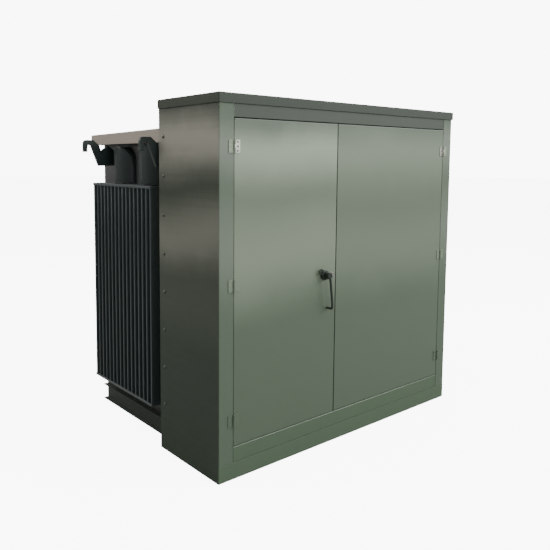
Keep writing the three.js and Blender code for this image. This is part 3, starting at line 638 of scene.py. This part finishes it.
def eased(piece, width=1.2 * MM, segments=2, angle=SHARP_ABOVE):
    """Breaks every sharp edge a little, as a file does."""
    return modified(piece, "BEVEL", width=width, segments=segments, limit_method="ANGLE",
                    angle_limit=math.radians(angle), use_clamp_overlap=True)


# %% Finishing a piece
def painted(piece, *names):
    """Gives a piece these finishes as its material slots."""
    piece.data.materials.clear()
    for name in names:
        piece.data.materials.append(finishes[name])
    return piece


def finished(piece, body, slot, *replaced):
    """Smooths a piece, paints it with the slot's finish if it has none, gives it a body, and hides the
    solids it stands for.
    """
    settle(piece)
    bpy.ops.object.shade_smooth_by_angle(angle=math.radians(SHARP_ABOVE))
    modified(piece, "WEIGHTED_NORMAL", weight=100, keep_sharp=True)
    if not piece.data.materials:
        painted(piece, slot)
    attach(piece, body)
    if replaced:
        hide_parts(*replaced)
    print(f"{piece.name}: {len(piece.data.polygons)} faces on {body}")


# %% Planes of the unit
panel_low, panel_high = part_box("side_panel_left")
FRONT, BACK, CORNER = panel_low.y, panel_high.y, -panel_low.x
MEETING = (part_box("left_door")[1].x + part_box("right_door")[0].x) / 2
SIDES = [("left", -1), ("right", 1)]
print("front at", FRONT, "corner at", CORNER, "doors meet at", MEETING)

# %% [markdown]
# ### Cabinet
# A side panel's post is folded across the front, where it faces another part of the hall, so it wears a
# lighter copy of the cabinet enamel, painted light. The side wears a darker copy with painted reflections.
# The sill and the header stop a little short of the posts: a drawn line could stand for the dark joint, but
# a real gap shades itself. The sill and toe rail wear a lighter copy too, and the header a darker one,
# painted shade. One fold of the sill and of the header has a paler tone, a painted highlight.

# %% Side panels
PANEL_FOLD, POST_FACING = 5 * MM, -0.6
for name, side in SIDES:
    panel = merged_copy(f"side_panel_{name}", f"side_sheet_{name}")
    folded(panel, [plane(0, side * CORNER), plane(1, FRONT)], PANEL_FOLD, 4)
    # The side takes the cabinet enamel darkened as painted shade, with painted reflections. The front-facing
    # post takes a lighter copy, painted light.
    painted(panel, "side_paint", "post_paint")
    for face in panel.data.polygons:
        face.material_index = int(face.normal.y < POST_FACING)
    finished(panel, "frame", "cabinet_paint", f"side_panel_{name}")

# %% Rails
RAIL_FOLD, SEAM = 2.5 * MM, 1.8 * MM
# The sill and toe rail paint is a lighter copy of the cabinet enamel, painted light, and the header's a
# darker one, painted shade.
RAILS = [("toe_rail", 0, "frame_paint", Vector((0, 0, 0))),
         ("sill_panel", SEAM, "frame_paint", Vector((0, 0, 1))),
         ("header_rail", SEAM, "header_paint", Vector((-1, 0, 0)))]
for name, inset, look, highlight_side in RAILS:
    low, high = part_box(name)
    sheet = merged_copy(name, name + "_sheet")
    for end, inward in ((plane(0, low.x), inset), (plane(0, high.x), -inset)):
        pick(sheet, "FACE", lambda face: all(end(v.co) for v in face.verts))
        bpy.ops.transform.translate(value=(inward, 0, 0))
        done()
    ends = [plane(0, low.x + inset), plane(0, high.x - inset)]
    folded(sheet, ends + [plane(1, FRONT), plane(2, low.z), plane(2, high.z)], RAIL_FOLD)
    # The front fold on the lit side takes a paler tone, a painted highlight: the sill's top fold and the
    # header's left end fold.
    painted(sheet, look, "worn_edge")
    for face in sheet.data.polygons:
        on_front_fold = -0.9 < face.normal.y < -0.3
        face.material_index = int(on_front_fold and face.normal.dot(highlight_side) > 0.3)
    finished(sheet, "frame", "cabinet_paint", name)

# %% Hood
CAP_FOLD = 6 * MM
low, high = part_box("hood")
hood = merged_copy("hood", "hood_shell")
folded(hood, [plane(0, low.x), plane(0, high.x), plane(1, low.y), plane(2, high.z)], CAP_FOLD, 4)
# The hood wears a darker copy of the cabinet enamel: painted shade.
finished(painted(hood, "hood_paint"), "hood", "cabinet_paint", "hood")

# %% [markdown]
# ### Doors
# Each door is one sheet folded back on four sides. Of the three hinge leaves on its skin, the top one is
# bare stainless steel, and the others were painted with the cabinet. The skin's enamel carries painted
# reflections in level bands, weaker on the right door. The folds along the top and the meeting line look
# into a gap, so they carry painted shade.

# %% Doors
DOOR_FOLD, GAP_REACH = 3.5 * MM, 10 * MM
STAINLESS_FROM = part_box("hinge_left_upper")[0].z - 5 * MM
SKIN, STEEL_LEAF, PAINTED_LEAF, DARK_FOLD = 0, 1, 2, 3
for name, side in SIDES:
    door = merged_copy(f"{name}_door", f"{name}_door_pan")
    pan = [v.co for v in door.data.vertices if v.co.y > FRONT - NEAR]
    low = Vector(min(p[i] for p in pan) for i in range(3))
    high = Vector(max(p[i] for p in pan) for i in range(3))
    tests = [plane(0, low.x), plane(0, high.x), plane(1, FRONT), plane(2, low.z), plane(2, high.z)]
    folded(door, tests, DOOR_FOLD)
    # The skin wears painted reflection bands, weaker on the right door. The folds by the top and meeting
    # gaps wear painted shade.
    painted(door, "door_paint" if side < 0 else "right_paint", "hinge_steel", "hinge_paint", "seam_shade")
    for face in door.data.polygons:
        on_fold = -0.95 < face.normal.y < 0.3
        by_gap = face.normal.z > 0.2 or abs(face.center.x - MEETING) < GAP_REACH
        if face.center.y < FRONT - NEAR:
            face.material_index = STEEL_LEAF if face.center.z > STAINLESS_FROM else PAINTED_LEAF
        else:
            face.material_index = DARK_FOLD if on_fold and by_gap else SKIN
    finished(door, f"{name}_door", "door_paint", f"{name}_door")

# %% [markdown]
# ### Tank
# The tank is welded plate under a cover, a shallow pan turned over the rim. The cover's pale warm tone is a
# painted reflection of the warm light, as on the side panels, and the tank's enamel grows paler with height,
# a painted sheen. Half-round stiffeners with arched heads stand on each side wall between the lifting hooks.
# They wear a darker copy of the tank's enamel without the sheen, as dark as the hooks. The imported shapes
# are right, so only their edges are eased.

# %% Tank cover
SKIRT = 40 * MM
low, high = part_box("tank_cover")
RIM_LEVEL = low.z + SKIRT
cover = merged_copy("tank_cover", "cover_pan")
tests = [plane(0, low.x), plane(0, high.x), plane(1, high.y), lambda point: point.z > RIM_LEVEL]
folded(cover, tests, CAP_FOLD, 4)
# The cover's pale warm finish is a painted reflection.
finished(cover, "frame", "cover_paint", "tank_cover")

# %% Tank, base rails and lifting hooks
RIB_PROUD, STANDS_OUT = 80 * MM, 3 * MM
TANK_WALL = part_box("tank_body")[1].x - RIB_PROUD
tank = eased(merged_copy("tank_body", "tank_shell"), 2.0 * MM)
# The wall grows paler with height, a painted sheen. The stiffeners take the darker plate paint, the same
# enamel without the sheen.
painted(tank, "tank_paint", "plate_paint")
for face in tank.data.polygons:
    face.material_index = int(abs(face.center.x) > TANK_WALL + STANDS_OUT + NEAR)
finished(tank, "frame", "tank_paint", "tank_body")
for name in ("left", "right", "rear"):
    rail = eased(merged_copy(f"base_rail_{name}", f"base_channel_{name}"), 1.6 * MM)
    finished(painted(rail, "rail_paint"), "frame", "tank_paint", f"base_rail_{name}")
for place in ("front_left", "front_right", "rear_left", "rear_right"):
    hook = eased(merged_copy(f"lifting_hook_{place}", f"hook_plate_{place}"), 1.8 * MM)
    finished(painted(hook, "plate_paint"), "frame", "radiator_paint", f"lifting_hook_{place}")

# %% [markdown]
# ## Turned parts
# Bolts, bushings, gauges and valves are round about an axis. Their half section, in millimetres, is
# drawn by extruding one vertex, and spun once round. A ring's line returns to its first point.

# %% Spin helper
OUT = Vector((0, -1, 0))


def spun(name, section, base, axis, steps=32):
    """Spins a half section of (radius, height) points about an axis through a base point."""
    points = [(radius * MM, 0, height * MM) for radius, height in section]
    select_nothing()
    bpy.ops.mesh.primitive_plane_add(size=2 * MM)
    piece = bpy.context.object
    piece.name = name
    pick(piece, "FACE")
    bpy.ops.mesh.select_mode(type="VERT")
    bpy.ops.mesh.select_all(action="SELECT")
    bpy.ops.mesh.merge(type="CENTER")
    bpy.ops.transform.translate(value=points[0])
    for here, there in zip(points, points[1:]):
        step = (there[0] - here[0], 0, there[2] - here[2])
        bpy.ops.mesh.extrude_vertices_move(TRANSFORM_OT_translate={"value": step})
    bpy.ops.mesh.select_all(action="SELECT")
    bpy.ops.mesh.spin(steps=steps, angle=2 * math.pi, center=(0, 0, 0), axis=(0, 0, 1))
    bpy.ops.mesh.select_all(action="SELECT")
    bpy.ops.mesh.remove_doubles(threshold=NEAR)
    bpy.ops.mesh.normals_make_consistent(inside=False)
    done()
    turn = Vector(axis).to_track_quat("Z", "Y").to_matrix().to_4x4()
    piece.data.transform(Matrix.Translation(Vector(base)) @ turn)
    return piece


# %% [markdown]
# ### Bolts and welds
# Domed bolts hold each side panel to the back frame, and a stitch of weld beads runs down each stiffener.
# Bump would do from afar, but vanishes at the outline, so each dome and bead is spun. The beads wear the
# paler bolt enamel, a painted highlight along the stiffener's crown.

# %% Side panel bolts
BOLT_ROWS, BOLT_FIRST, BOLT_PITCH, BOLT_INSET = 8, 0.252, 0.2013, 44 * MM
dome = [(0, 0), (10.5, 0), (10.5, 1.2), (8.5, 1.4), (8.3, 2.6), (7, 4.4), (4.6, 5.6), (0, 6.2)]
bolts = []
for name, side in SIDES:
    for row in range(BOLT_ROWS):
        place = (side * CORNER, BACK - BOLT_INSET, BOLT_FIRST + row * BOLT_PITCH)
        bolts.append(spun("bolt", dome, place, (side, 0, 0), 20))
finished(painted(joined("side_panel_bolts", bolts), "bolt_paint"), "frame", "cabinet_paint")

# %% Weld stitches down each stiffener
RIB_PLACES, RIB_FOOT, RIB_HEAD, STITCH = (232 * MM, 525 * MM), 1.43, 1.58, 9 * MM
TANK_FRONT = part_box("back_frame")[1].y
bead = [(0, -1), (3.4, -1), (3.0, 1.0), (1.6, 1.8), (0, 2.0)]
beads = []
for name, side in SIDES:
    for place in RIB_PLACES:
        for step in range(int((RIB_HEAD - RIB_FOOT) / STITCH)):
            spot = (side * (TANK_WALL + RIB_PROUD), TANK_FRONT + place, RIB_FOOT + step * STITCH)
            beads.append(spun("bead", bead, spot, (side, 0, 0), 8))
# The beads are real shapes, and their paler bolt paint is a painted highlight.
finished(painted(joined("stiffener_weld", beads), "bolt_paint"), "frame", "tank_paint")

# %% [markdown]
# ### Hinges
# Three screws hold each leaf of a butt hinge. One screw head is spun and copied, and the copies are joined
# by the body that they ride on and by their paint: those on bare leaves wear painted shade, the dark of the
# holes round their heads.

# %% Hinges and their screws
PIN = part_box("header_rail")[1].x - 1.2 * MM
SCREW_REACH, SCREW_PITCH, LEAF_FACE = 20 * MM, 21 * MM, FRONT - 3.3 * MM
SCREW_GROUPS = {
    "frame_painted": ("frame", "hinge_paint"),
    # Screws on the bare upper leaves take the seam shade: painted shade.
    "left_door": ("left_door", "seam_shade"), "right_door": ("right_door", "seam_shade"),
    "left_painted": ("left_door", "hinge_paint"), "right_painted": ("right_door", "hinge_paint"),
}
screw_head = [(0, 0), (4.6, 0), (4.4, 0.5), (2.6, 1.1), (1.5, 1.2), (1.4, 0.5), (0, 0.4)]
screw = spun("screw", screw_head, (0, 0, 0), OUT, 14)
screws = {group: [] for group in SCREW_GROUPS}
for name, side in SIDES:
    for level in ("lower", "middle", "upper"):
        node = f"hinge_{name}_{level}"
        low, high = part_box(node)
        leaf = eased(merged_copy(node, f"butt_hinge_{name}_{level}"), 0.5 * MM)
        finished(painted(leaf, "hinge_paint"), "frame", "hinge_steel", node)
        door_group = f"{name}_door" if level == "upper" else f"{name}_painted"
        for row in (-1, 0, 1):
            height = (low.z + high.z) / 2 + row * SCREW_PITCH
            for group, x in (("frame_painted", PIN + SCREW_REACH), (door_group, PIN - SCREW_REACH)):
                screws[group].append(copied(screw, "screw", (side * x, LEAF_FACE, height)))
for group, (body, look) in SCREW_GROUPS.items():
    finished(painted(joined(f"hinge_screws_{group}", screws[group]), look), body, "hinge_steel")
bpy.data.objects.remove(screw)

# %% [markdown]
# ## Radiators
# A fin is two pressed sheets welded round the rim, with oil in between. One is modelled as a thin block
# with a shallow channel pressed into each side. An array repeats it, and round headers, stubs and two
# straps tie the bank together.

# %% One fin
FINS, PITCH, FIN, FIN_WIDTH = 16, 44.5 * MM, 9 * MM, 82 * MM
RIM, PRESS_SLOPE, PRESS_DEPTH, FIN_ROUND = 12 * MM, 2.5 * MM, 1.8 * MM, 3.6 * MM


def one_fin(low, high):
    """A pressed fin between two corners."""
    fin = cuboid("fin", low, high)
    pick(fin, "FACE", lambda face: abs(face.normal.y) > 0.9)
    bpy.ops.mesh.inset(thickness=RIM, use_individual=True)
    bpy.ops.mesh.inset(thickness=PRESS_SLOPE, depth=-PRESS_DEPTH, use_individual=True)
    done()
    ends = plane(0, low[0]), plane(0, high[0])

    def upright(edge):
        first, second = edge.verts
        on_end = all(any(end(v.co) for end in ends) for v in edge.verts)
        return on_end and abs(first.co.y - second.co.y) < NEAR

    pick(fin, "EDGE", upright)
    bpy.ops.mesh.bevel(offset=FIN_ROUND, segments=3, affect="EDGES", clamp_overlap=False)
    done()
    return fin


# %% Radiator banks
STRAP_FRONT, STRAP, STRAP_IN, SUNK = 5 * MM, 14 * MM, 3 * MM, 2 * MM
HEADER_INSET, HEADER_RADIUS, HEADER_IN = 70 * MM, 24 * MM, 31 * MM
STUB_RADIUS, FLANGE_RADIUS, FLANGE = 16 * MM, 30 * MM, 8 * MM
for name, side in SIDES:
    low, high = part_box(f"radiator_{name}")
    outer = side * (max(abs(low.x), abs(high.x)) - SUNK)
    inner = outer - side * FIN_WIDTH
    first = low.y + STRAP_FRONT
    last = first + (FINS - 1) * PITCH
    span = sorted([inner, outer])
    bank = one_fin((span[0], first - FIN / 2, low.z), (span[1], first + FIN / 2, high.z))
    modified(bank, "ARRAY", count=FINS, use_relative_offset=False, use_constant_offset=True,
             constant_offset_displace=(0, PITCH, 0))
    parts = [bank]
    duct = inner + side * HEADER_IN
    wall = low.x if side > 0 else high.x
    for level in (low.z + HEADER_INSET, high.z - HEADER_INSET):
        parts.append(drum("header", (duct, first, level), (duct, last, level), HEADER_RADIUS, 32))
        for stub in (first + PITCH / 2, last - PITCH / 2):
            root = (wall, stub, level)
            parts.append(drum("stub", root, (duct, stub, level), STUB_RADIUS))
            parts.append(drum("flange", root, (wall + side * FLANGE, stub, level), FLANGE_RADIUS))
    ends = sorted([outer - side * STRAP_IN, outer + side * SUNK])
    for level in (low.z + 1 * MM, high.z - STRAP - 1 * MM):
        parts.append(eased(cuboid("strap", (ends[0], low.y, level), (ends[1], high.y, level + STRAP))))
    finished(joined(f"radiator_bank_{name}", parts), "frame", "radiator_paint", f"radiator_{name}")

# %% [markdown]
# ## Door handle
# A round boss carries a lever that hangs beside the meeting line, and a padlock ear stands off it.
# Extruded in straight steps, the bar's bends would show facets, so a round section is swept along a
# smooth curve.

# %% Bent bar helper
def bent_bar(name, points, radius):
    """A round bar swept along a smooth curve near the points."""
    path = bpy.data.curves.new(name, "CURVE")
    path.dimensions, path.bevel_depth, path.bevel_resolution = "3D", radius, 6
    path.use_fill_caps, path.resolution_u = True, 8
    line = path.splines.new("NURBS")
    line.points.add(len(points) - 1)
    for spot, point in zip(line.points, points):
        spot.co = (*point, 1)
    line.order_u, line.use_endpoint_u = 3, True
    piece = bpy.data.objects.new(name, path)
    scene.collection.objects.link(piece)
    lone(piece)
    bpy.ops.object.convert(target="MESH")
    piece = bpy.context.object
    pick(piece, "FACE")
    bpy.ops.mesh.remove_doubles(threshold=NEAR)
    bpy.ops.mesh.normals_make_consistent(inside=False)
    done()
    return piece


# %% Boss and padlock ear
BOSS, EAR = 26 * MM, 15 * MM
low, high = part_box("handle_escutcheon")
hub = Vector((high.x - BOSS, high.y, low.z + BOSS))
ear = Vector((low.x + EAR, hub.y, high.z - EAR))
boss_section = [(8.5, 0), (26, 0), (26, 14), (24.8, 16.8), (22, 18), (8.5, 18), (8.5, 0)]
ear_section = [(6.5, 12.2), (14.4, 12.2), (15, 13), (15, 17.2), (14.2, 18), (6.5, 18), (6.5, 12.2)]
boss, ring = spun("boss", boss_section, hub, OUT, 48), spun("ear", ear_section, ear, OUT)
arm = cuboid("arm", (ear.x + 8 * MM, hub.y - 17.5 * MM, hub.z + 10 * MM),
             (hub.x - 4 * MM, hub.y - 12.5 * MM, hub.z + 23 * MM))
finished(joined("handle_boss", [boss, ring, eased(arm)]), "left_door", "dark_steel", "handle_escutcheon")

# %% Lever
low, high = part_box("handle_lever")
knob = [(0, 0), (17, 0), (18, 1.5), (18, 27), (16, 30.5), (11, 31.4), (0, 31.4)]
cap = spun("cap", knob, hub + OUT * 18.3 * MM, OUT, 40)
shaft = drum("shaft", (hub.x, hub.y - 20 * MM, hub.z), (hub.x, high.y, hub.z), 8 * MM, 32)
grip = low.y + 7 * MM
foot = Vector((high.x - 6 * MM, hub.y - 8 * MM, low.z + 6 * MM))
bends = [(hub.x + x * MM, grip, hub.z + z * MM) for x, z in ((2, 2), (7, -20), (14, -70))]
bends += [(foot.x - 4 * MM, grip, hub.z - 130 * MM), (foot.x - 1 * MM, grip, foot.z + 14 * MM),
          (foot.x, grip + 3 * MM, foot.z + 2 * MM), (foot.x, grip + 16 * MM, foot.z), tuple(foot)]
bar = bent_bar("bar", bends, 6.2 * MM)
tip = spun("tip", [(0, 0), (5, 0), (6.6, 1.4), (6.8, 3), (6.2, 5), (0, 5)], foot, (0, 1, 0), 24)
finished(joined("door_lever", [cap, shaft, bar, tip]), "handle", "dark_steel", "handle_lever")

# %% [markdown]
# The captive bolt's five-sided head, which a common spanner can't turn, is sunk in a round shroud.

# %% Captive bolt
low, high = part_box("captive_bolt")
bolt = Vector(((low.x + high.x) / 2, FRONT - 0.3 * MM, (low.z + high.z) / 2))
shroud_section = [(0, 0), (11, 0), (11, 7), (10, 8.8), (9, 9), (8.4, 8.2), (8.4, 3), (0, 3)]
shroud = spun("shroud", shroud_section, bolt, OUT, 36)
head = eased(drum("head", bolt + OUT * 2 * MM, bolt + OUT * 8 * MM, 5.5 * MM, 5), 0.6 * MM)
shank = drum("shank", bolt + OUT * 1 * MM, (bolt.x, high.y, bolt.z), 5.5 * MM)
finished(joined("security_bolt", [shroud, head, shank]), "captive_bolt", "plated_steel", "captive_bolt")

# %% [markdown]
# ## Behind the doors
# Bushings and fuse holders for the high voltage are on the left, terminal spades, gauges and a rating
# plate on the right. Each stands on the tank's front wall, so its axis points out of the wall.

# %% Fitting, nut and hoop helpers
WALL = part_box("hv_bushing_a")[1].y


def middle_of(node):
    """The place on the tank wall behind the middle of a fitting."""
    low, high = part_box(node)
    return Vector(((low.x + high.x) / 2, WALL, (low.z + high.z) / 2))


def fitting(name, section, place, finish, steps=36):
    """A spun and painted part that points out of the wall."""
    return painted(spun(name, section, place, OUT, steps), finish)


def nuts(place, radius, count=4, size=6.5 * MM, stand=12 * MM):
    """Hexagon nuts on their studs, in a circle about a fitting."""
    group = []
    for turn in range(count):
        angle = 2 * math.pi * (turn + 0.5) / count
        spot = place + Vector((math.cos(angle) * radius, -stand, math.sin(angle) * radius))
        nut = eased(drum("nut", spot, spot + OUT * 5 * MM, size, 6), 0.5 * MM)
        stud = eased(drum("stud", spot + OUT * 4 * MM, spot + OUT * 9 * MM, size * 0.5, 12), 0.5 * MM)
        group.append(painted(joined("nut", [nut, stud]), "plated_steel"))
    return group


def hoop(name, place, radius, wire, finish, turned=0, steps=32):
    """A round wire ring, level unless it is turned about the y axis."""
    select_nothing()
    bpy.ops.mesh.primitive_torus_add(major_radius=radius, minor_radius=wire, major_segments=steps,
                                     minor_segments=10, location=place, rotation=(0, turned, 0))
    piece = bpy.context.object
    piece.name = name
    return painted(settle(piece), finish)


# %% [markdown]
# ### High voltage
# A bushing well is a cast epoxy cone on a clamped flange. A fuse is drawn out by the eye on its cap, so
# both ride on the fuse, and the holder stays on the tank.

# %% High-voltage bushings
well = [(0, 0), (62, 0), (62, 10), (60, 12), (47, 13), (44.5, 17), (44, 58), (42, 62), (35, 65), (33, 69),
        (27.4, 182), (25, 186), (12, 188), (10, 189), (10, 199), (9, 200), (0, 200)]
for phase in "abc":
    place = middle_of(f"hv_bushing_{phase}")
    parts = [fitting("well", well, place, "epoxy", 48)] + nuts(place, 53 * MM)
    finished(joined(f"bushing_well_{phase}", parts), "frame", "epoxy", f"hv_bushing_{phase}")

# %% Fuse holders and fuses
housing = eased(merged_copy("fuse_housings", "fuse_holder_block"), 1.5 * MM, angle=50)
finished(housing, "frame", "epoxy", "fuse_housings")
cap_section = [(0, 15), (20, 15), (20, 125), (31, 125.3), (32, 126.5), (32, 136), (30, 137.5), (13, 141),
               (10, 144), (9, 155), (8, 157), (0, 157.3)]
for phase in "abc":
    node = f"bayonet_fuse_{phase}"
    place = middle_of(node)
    spot = (place.x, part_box(node)[0].y + 17 * MM, place.z)
    parts = [fitting("cap", cap_section, place, "fuse_metal", 40),
             hoop("pull_eye", spot, 13 * MM, 4 * MM, "fuse_metal", math.pi / 2)]
    finished(joined(f"fuse_pull_{phase}", parts), f"fuse_{phase}", "fuse_metal", node)

# %% [markdown]
# The switch and the tap changer each turn by a flat grip, level on the first and upright on the second.

# %% Switch and tap handles
for node, finish, reach in (("switch_handle", "dark_steel", Vector((65, 0, 10)) * MM),
                            ("tap_handle", "terminal_brass", Vector((10, 0, 38)) * MM)):
    place = middle_of(node)
    low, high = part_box(node)
    disc = min(high.x - low.x, high.z - low.z) / 2 / MM
    knob = [(0, 0), (disc, 0), (disc, 12), (disc - 2, 14), (14, 19), (12, 22), (12, 60), (0, 60)]
    grip = cuboid("grip", place - reach + OUT * 54 * MM, place + reach + OUT * 69.5 * MM)
    parts = [fitting("knob", knob, place, finish, 40), painted(eased(grip, 4 * MM, 4), finish)]
    finished(joined(f"{node}_grip", parts), node, finish, node)

# %% [markdown]
# ### Low voltage
# A spade is a flat brass blade that comes through a ribbed epoxy insulator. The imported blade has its
# bolt holes already, so it is cut off at the insulator's face and kept.

# %% Low-voltage terminals
shed = [(0, 0), (58, 0), (58, 10), (56, 12), (42, 14), (39, 20), (38.5, 40), (44, 43), (44, 47), (38, 50),
        (37, 66), (42, 69), (42, 73), (35, 76), (26, 88), (24, 90), (0, 90)]
ROOT = WALL - 88 * MM
for row in range(4):
    node = f"lv_bushing_{row}"
    place = middle_of(node)
    blade = merged_copy(node, "spade")
    pick(blade, "FACE")
    bpy.ops.mesh.bisect(plane_co=(0, ROOT, 0), plane_no=(0, 1, 0), use_fill=True, clear_outer=True)
    done()
    parts = [fitting("insulator", shed, place, "epoxy", 48), painted(eased(blade, 1 * MM), "terminal_brass")]
    parts += nuts(place, 49 * MM)
    finished(joined(f"spade_terminal_{row}", parts), "frame", "terminal_brass", node)

# %% [markdown]
# ### Gauges
# A gauge is a spun case with a raised bezel. Its strokes and pointer are thin plates that stand a little
# off the face, and there is no lettering.

# %% Dial helper
STROKES, LONG_EVERY, LONG, SHORT, TO_RIM = 24, 6, 0.3, 0.16, 0.94


def dial(name, radius, depth, sweep, reading):
    """A gauge: its strokes cover a sweep of degrees, and its pointer reads a share of it."""
    place = middle_of(name)
    case = [(0, 0), (radius * 0.6, 0), (radius * 0.6, 14), (radius - 1, 17), (radius, 19),
            (radius, depth - 1), (radius - 1.5, depth), (radius - 4.5, depth - 0.5),
            (radius - 5, depth - 4), (0, depth - 4)]
    face = place + OUT * (depth - 3.9) * MM
    disc = [(0, 0), (radius - 6, 0), (radius - 6, 0.4), (0, 0.4)]
    parts = [fitting("case", case, place, "dark_steel", 56), fitting("face", disc, face, "gauge_face", 48)]
    inner = (radius - 6) * MM

    def at(share):
        return Matrix.Rotation(math.radians(-sweep / 2 + sweep * share), 4, "Y")

    for stroke in range(STROKES + 1):
        inmost = TO_RIM - (SHORT if stroke % LONG_EVERY else LONG)
        mark = cuboid("stroke", (-0.6 * MM, -0.3 * MM, inner * inmost), (0.6 * MM, 0, inner * TO_RIM))
        mark.data.transform(Matrix.Translation(face + OUT * 0.3 * MM) @ at(stroke / STROKES))
        parts.append(painted(mark, "gasket_rubber"))
    select_nothing()
    bpy.ops.mesh.primitive_cone_add(vertices=4, radius1=2.4 * MM, radius2=0.5 * MM, depth=inner * 0.95,
                                    location=(0, 0, inner * 0.33))
    needle = settle(bpy.context.object)
    flat = Matrix.Diagonal((1, 0.35, 1, 1))
    needle.data.transform(Matrix.Translation(face + OUT * 1.6 * MM) @ at(reading) @ flat)
    parts.append(painted(needle, "gasket_rubber"))
    boss = [(0, 0.3), (4, 0.3), (4, 2.4), (3, 3), (0, 3)]
    parts.append(fitting("boss", boss, face, "dark_steel", 20))
    finished(joined(f"{name}_dial", parts), "frame", "gauge_face", name)


# %% Gauges
dial("level_gauge", 55, 46, 180, 0.5)
dial("thermometer", 50, 46, 270, 0.35)
dial("pressure_gauge", 36, 40, 270, 0.5)

# %% [markdown]
# The rating plate is bright metal with a raised rim and four rivets. Plain rules stand for its print.

# %% Rating plate
RULES, RULE_PITCH, RULE_FIRST, RULE_IN = 9, 14 * MM, 18 * MM, 16 * MM
RIVET_X, RIVET_Z = 109 * MM, 69 * MM
rivet = [(0, 0), (3, 0), (2.6, 1), (1.4, 1.6), (0, 1.8)]
low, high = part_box("nameplate")
plate = cuboid("rating_plate", low, high)
pick(plate, "FACE", lambda face: face.normal.y < -0.9)
bpy.ops.mesh.inset(thickness=6 * MM)
bpy.ops.mesh.inset(thickness=0.6 * MM, depth=-0.6 * MM)
done()
parts = [painted(eased(plate, 0.3 * MM), "nameplate_metal")]
for x in (-RIVET_X, RIVET_X):
    for z in (-RIVET_Z, RIVET_Z):
        spot = Vector(((low.x + high.x) / 2 + x, low.y, (low.z + high.z) / 2 + z))
        parts.append(fitting("rivet", rivet, spot, "plated_steel", 16))
for row in range(RULES):
    level = low.z + RULE_FIRST + row * RULE_PITCH
    rule = cuboid("rule", (low.x + RULE_IN, low.y + 0.35 * MM, level),
                  (high.x - RULE_IN, low.y + 0.75 * MM, level + 1.1 * MM))
    parts.append(painted(rule, "dark_steel"))
finished(joined("rating_plate", parts), "frame", "nameplate_metal", "nameplate")

# %% [markdown]
# ### Valves
# The relief valve's ring and stem are one piece that slides in the brass body. The drain valve is a
# pipe with a bonnet, and its spoked wheel turns above it.

# %% Relief valve and its pull ring
place = middle_of("relief_valve")
body = [(0, 0), (24, 0), (24, 10), (23, 12), (18, 13), (17, 15), (17, 32), (15.5, 34), (0, 34)]
finished(fitting("relief_body", body, place, "terminal_brass"), "frame", "terminal_brass", "relief_valve")
stem = [(0, 34.3), (12, 34.3), (13, 35.3), (13, 38.6), (11.5, 39.5), (4.4, 40.5), (4, 42), (4, 50.3),
        (0, 50.3)]
spot = (place.x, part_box("relief_ring")[0].y + 13.5 * MM, place.z)
parts = [fitting("stem", stem, place, "plated_steel"),
         hoop("pull_ring", spot, 11 * MM, 2.5 * MM, "plated_steel", math.pi / 2)]
finished(joined("relief_pull", parts), "relief_ring", "plated_steel", "relief_ring")

# %% Drain valve
UP = Vector((0, 0, 1))
low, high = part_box("drain_valve_wheel")
axis = Vector(((low.x + high.x) / 2, (low.y + high.y) / 2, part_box("drain_valve")[0].z + 34 * MM))
pipe = [(0, 0), (34, 0), (34, 9), (33, 10), (18, 11), (17, 13), (17, 30), (26, 36), (28, 50), (28, 70),
        (26, 84), (20, 86), (20, 94), (19, 95), (0, 95)]
bonnet = [(0, 0), (18, 0), (18, 22), (22, 24), (22, 32), (15, 34), (14, 36), (14, 61), (13, 62), (0, 62)]
parts = [fitting("valve", pipe, (axis.x, WALL, axis.z), "terminal_brass", 40),
         painted(spun("bonnet", bonnet, axis, UP), "terminal_brass")]
finished(joined("drain_valve_body", parts), "frame", "terminal_brass", "drain_valve")

# %% Drain wheel
RIM_WIRE, RIM_IN, SPOKE = 4.8 * MM, 5 * MM, 2.6 * MM
rim = (high.x - low.x) / 2 - RIM_IN
centre = Vector((axis.x, axis.y, low.z + 12 * MM))
hub_section = [(0, 0), (9, 0), (9, 15), (8, 17), (4, 17), (0, 16.5)]
parts = [hoop("rim", centre, rim, RIM_WIRE, "dark_steel", steps=40),
         spun("hub", hub_section, (axis.x, axis.y, low.z), UP, 24)]
for along in (Vector((0, rim, 0)), Vector((rim, 0, 0))):
    parts.append(drum("spoke", centre - along, centre + along, SPOKE, 12))
wheel = painted(joined("drain_wheel_rim", parts), "dark_steel")
finished(wheel, "drain_wheel", "dark_steel", "drain_valve_wheel")

# %% [markdown]
# ## What is left
# The back frame, the barrier, the latch and the hood's hinge are right as packed, so only their sharp
# edges are eased. The hood's hinge was painted with the cabinet.

# %% Back frame, barrier, latch and hood hinge
EASED = [
    ("back_frame", "frame", "cabinet_paint", 1.5), ("compartment_barrier", "frame", "cabinet_paint", 0.8),
    ("latch_rod_upper", "latch_rod_upper", "plated_steel", 0.8),
    ("latch_rod_lower", "latch_rod_lower", "plated_steel", 0.8),
    ("latch_cam", "handle", "dark_steel", 0.6), ("hood_hinge", "frame", "hinge_steel", 0.6),
]
for node, body, slot, width in EASED:
    part = eased(merged_copy(node, node + "_part"), width * MM)
    painted(part, "cabinet_paint" if node == "hood_hinge" else slot)
    finished(part, body, slot, node)

# %% [markdown]
# The visual model stays inside the imported one, so both boxes are printed for comparing: the imported box
# after the import, and the visual box here.

# %% Print the visual box
low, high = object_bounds()
print("visual box:", low, high)
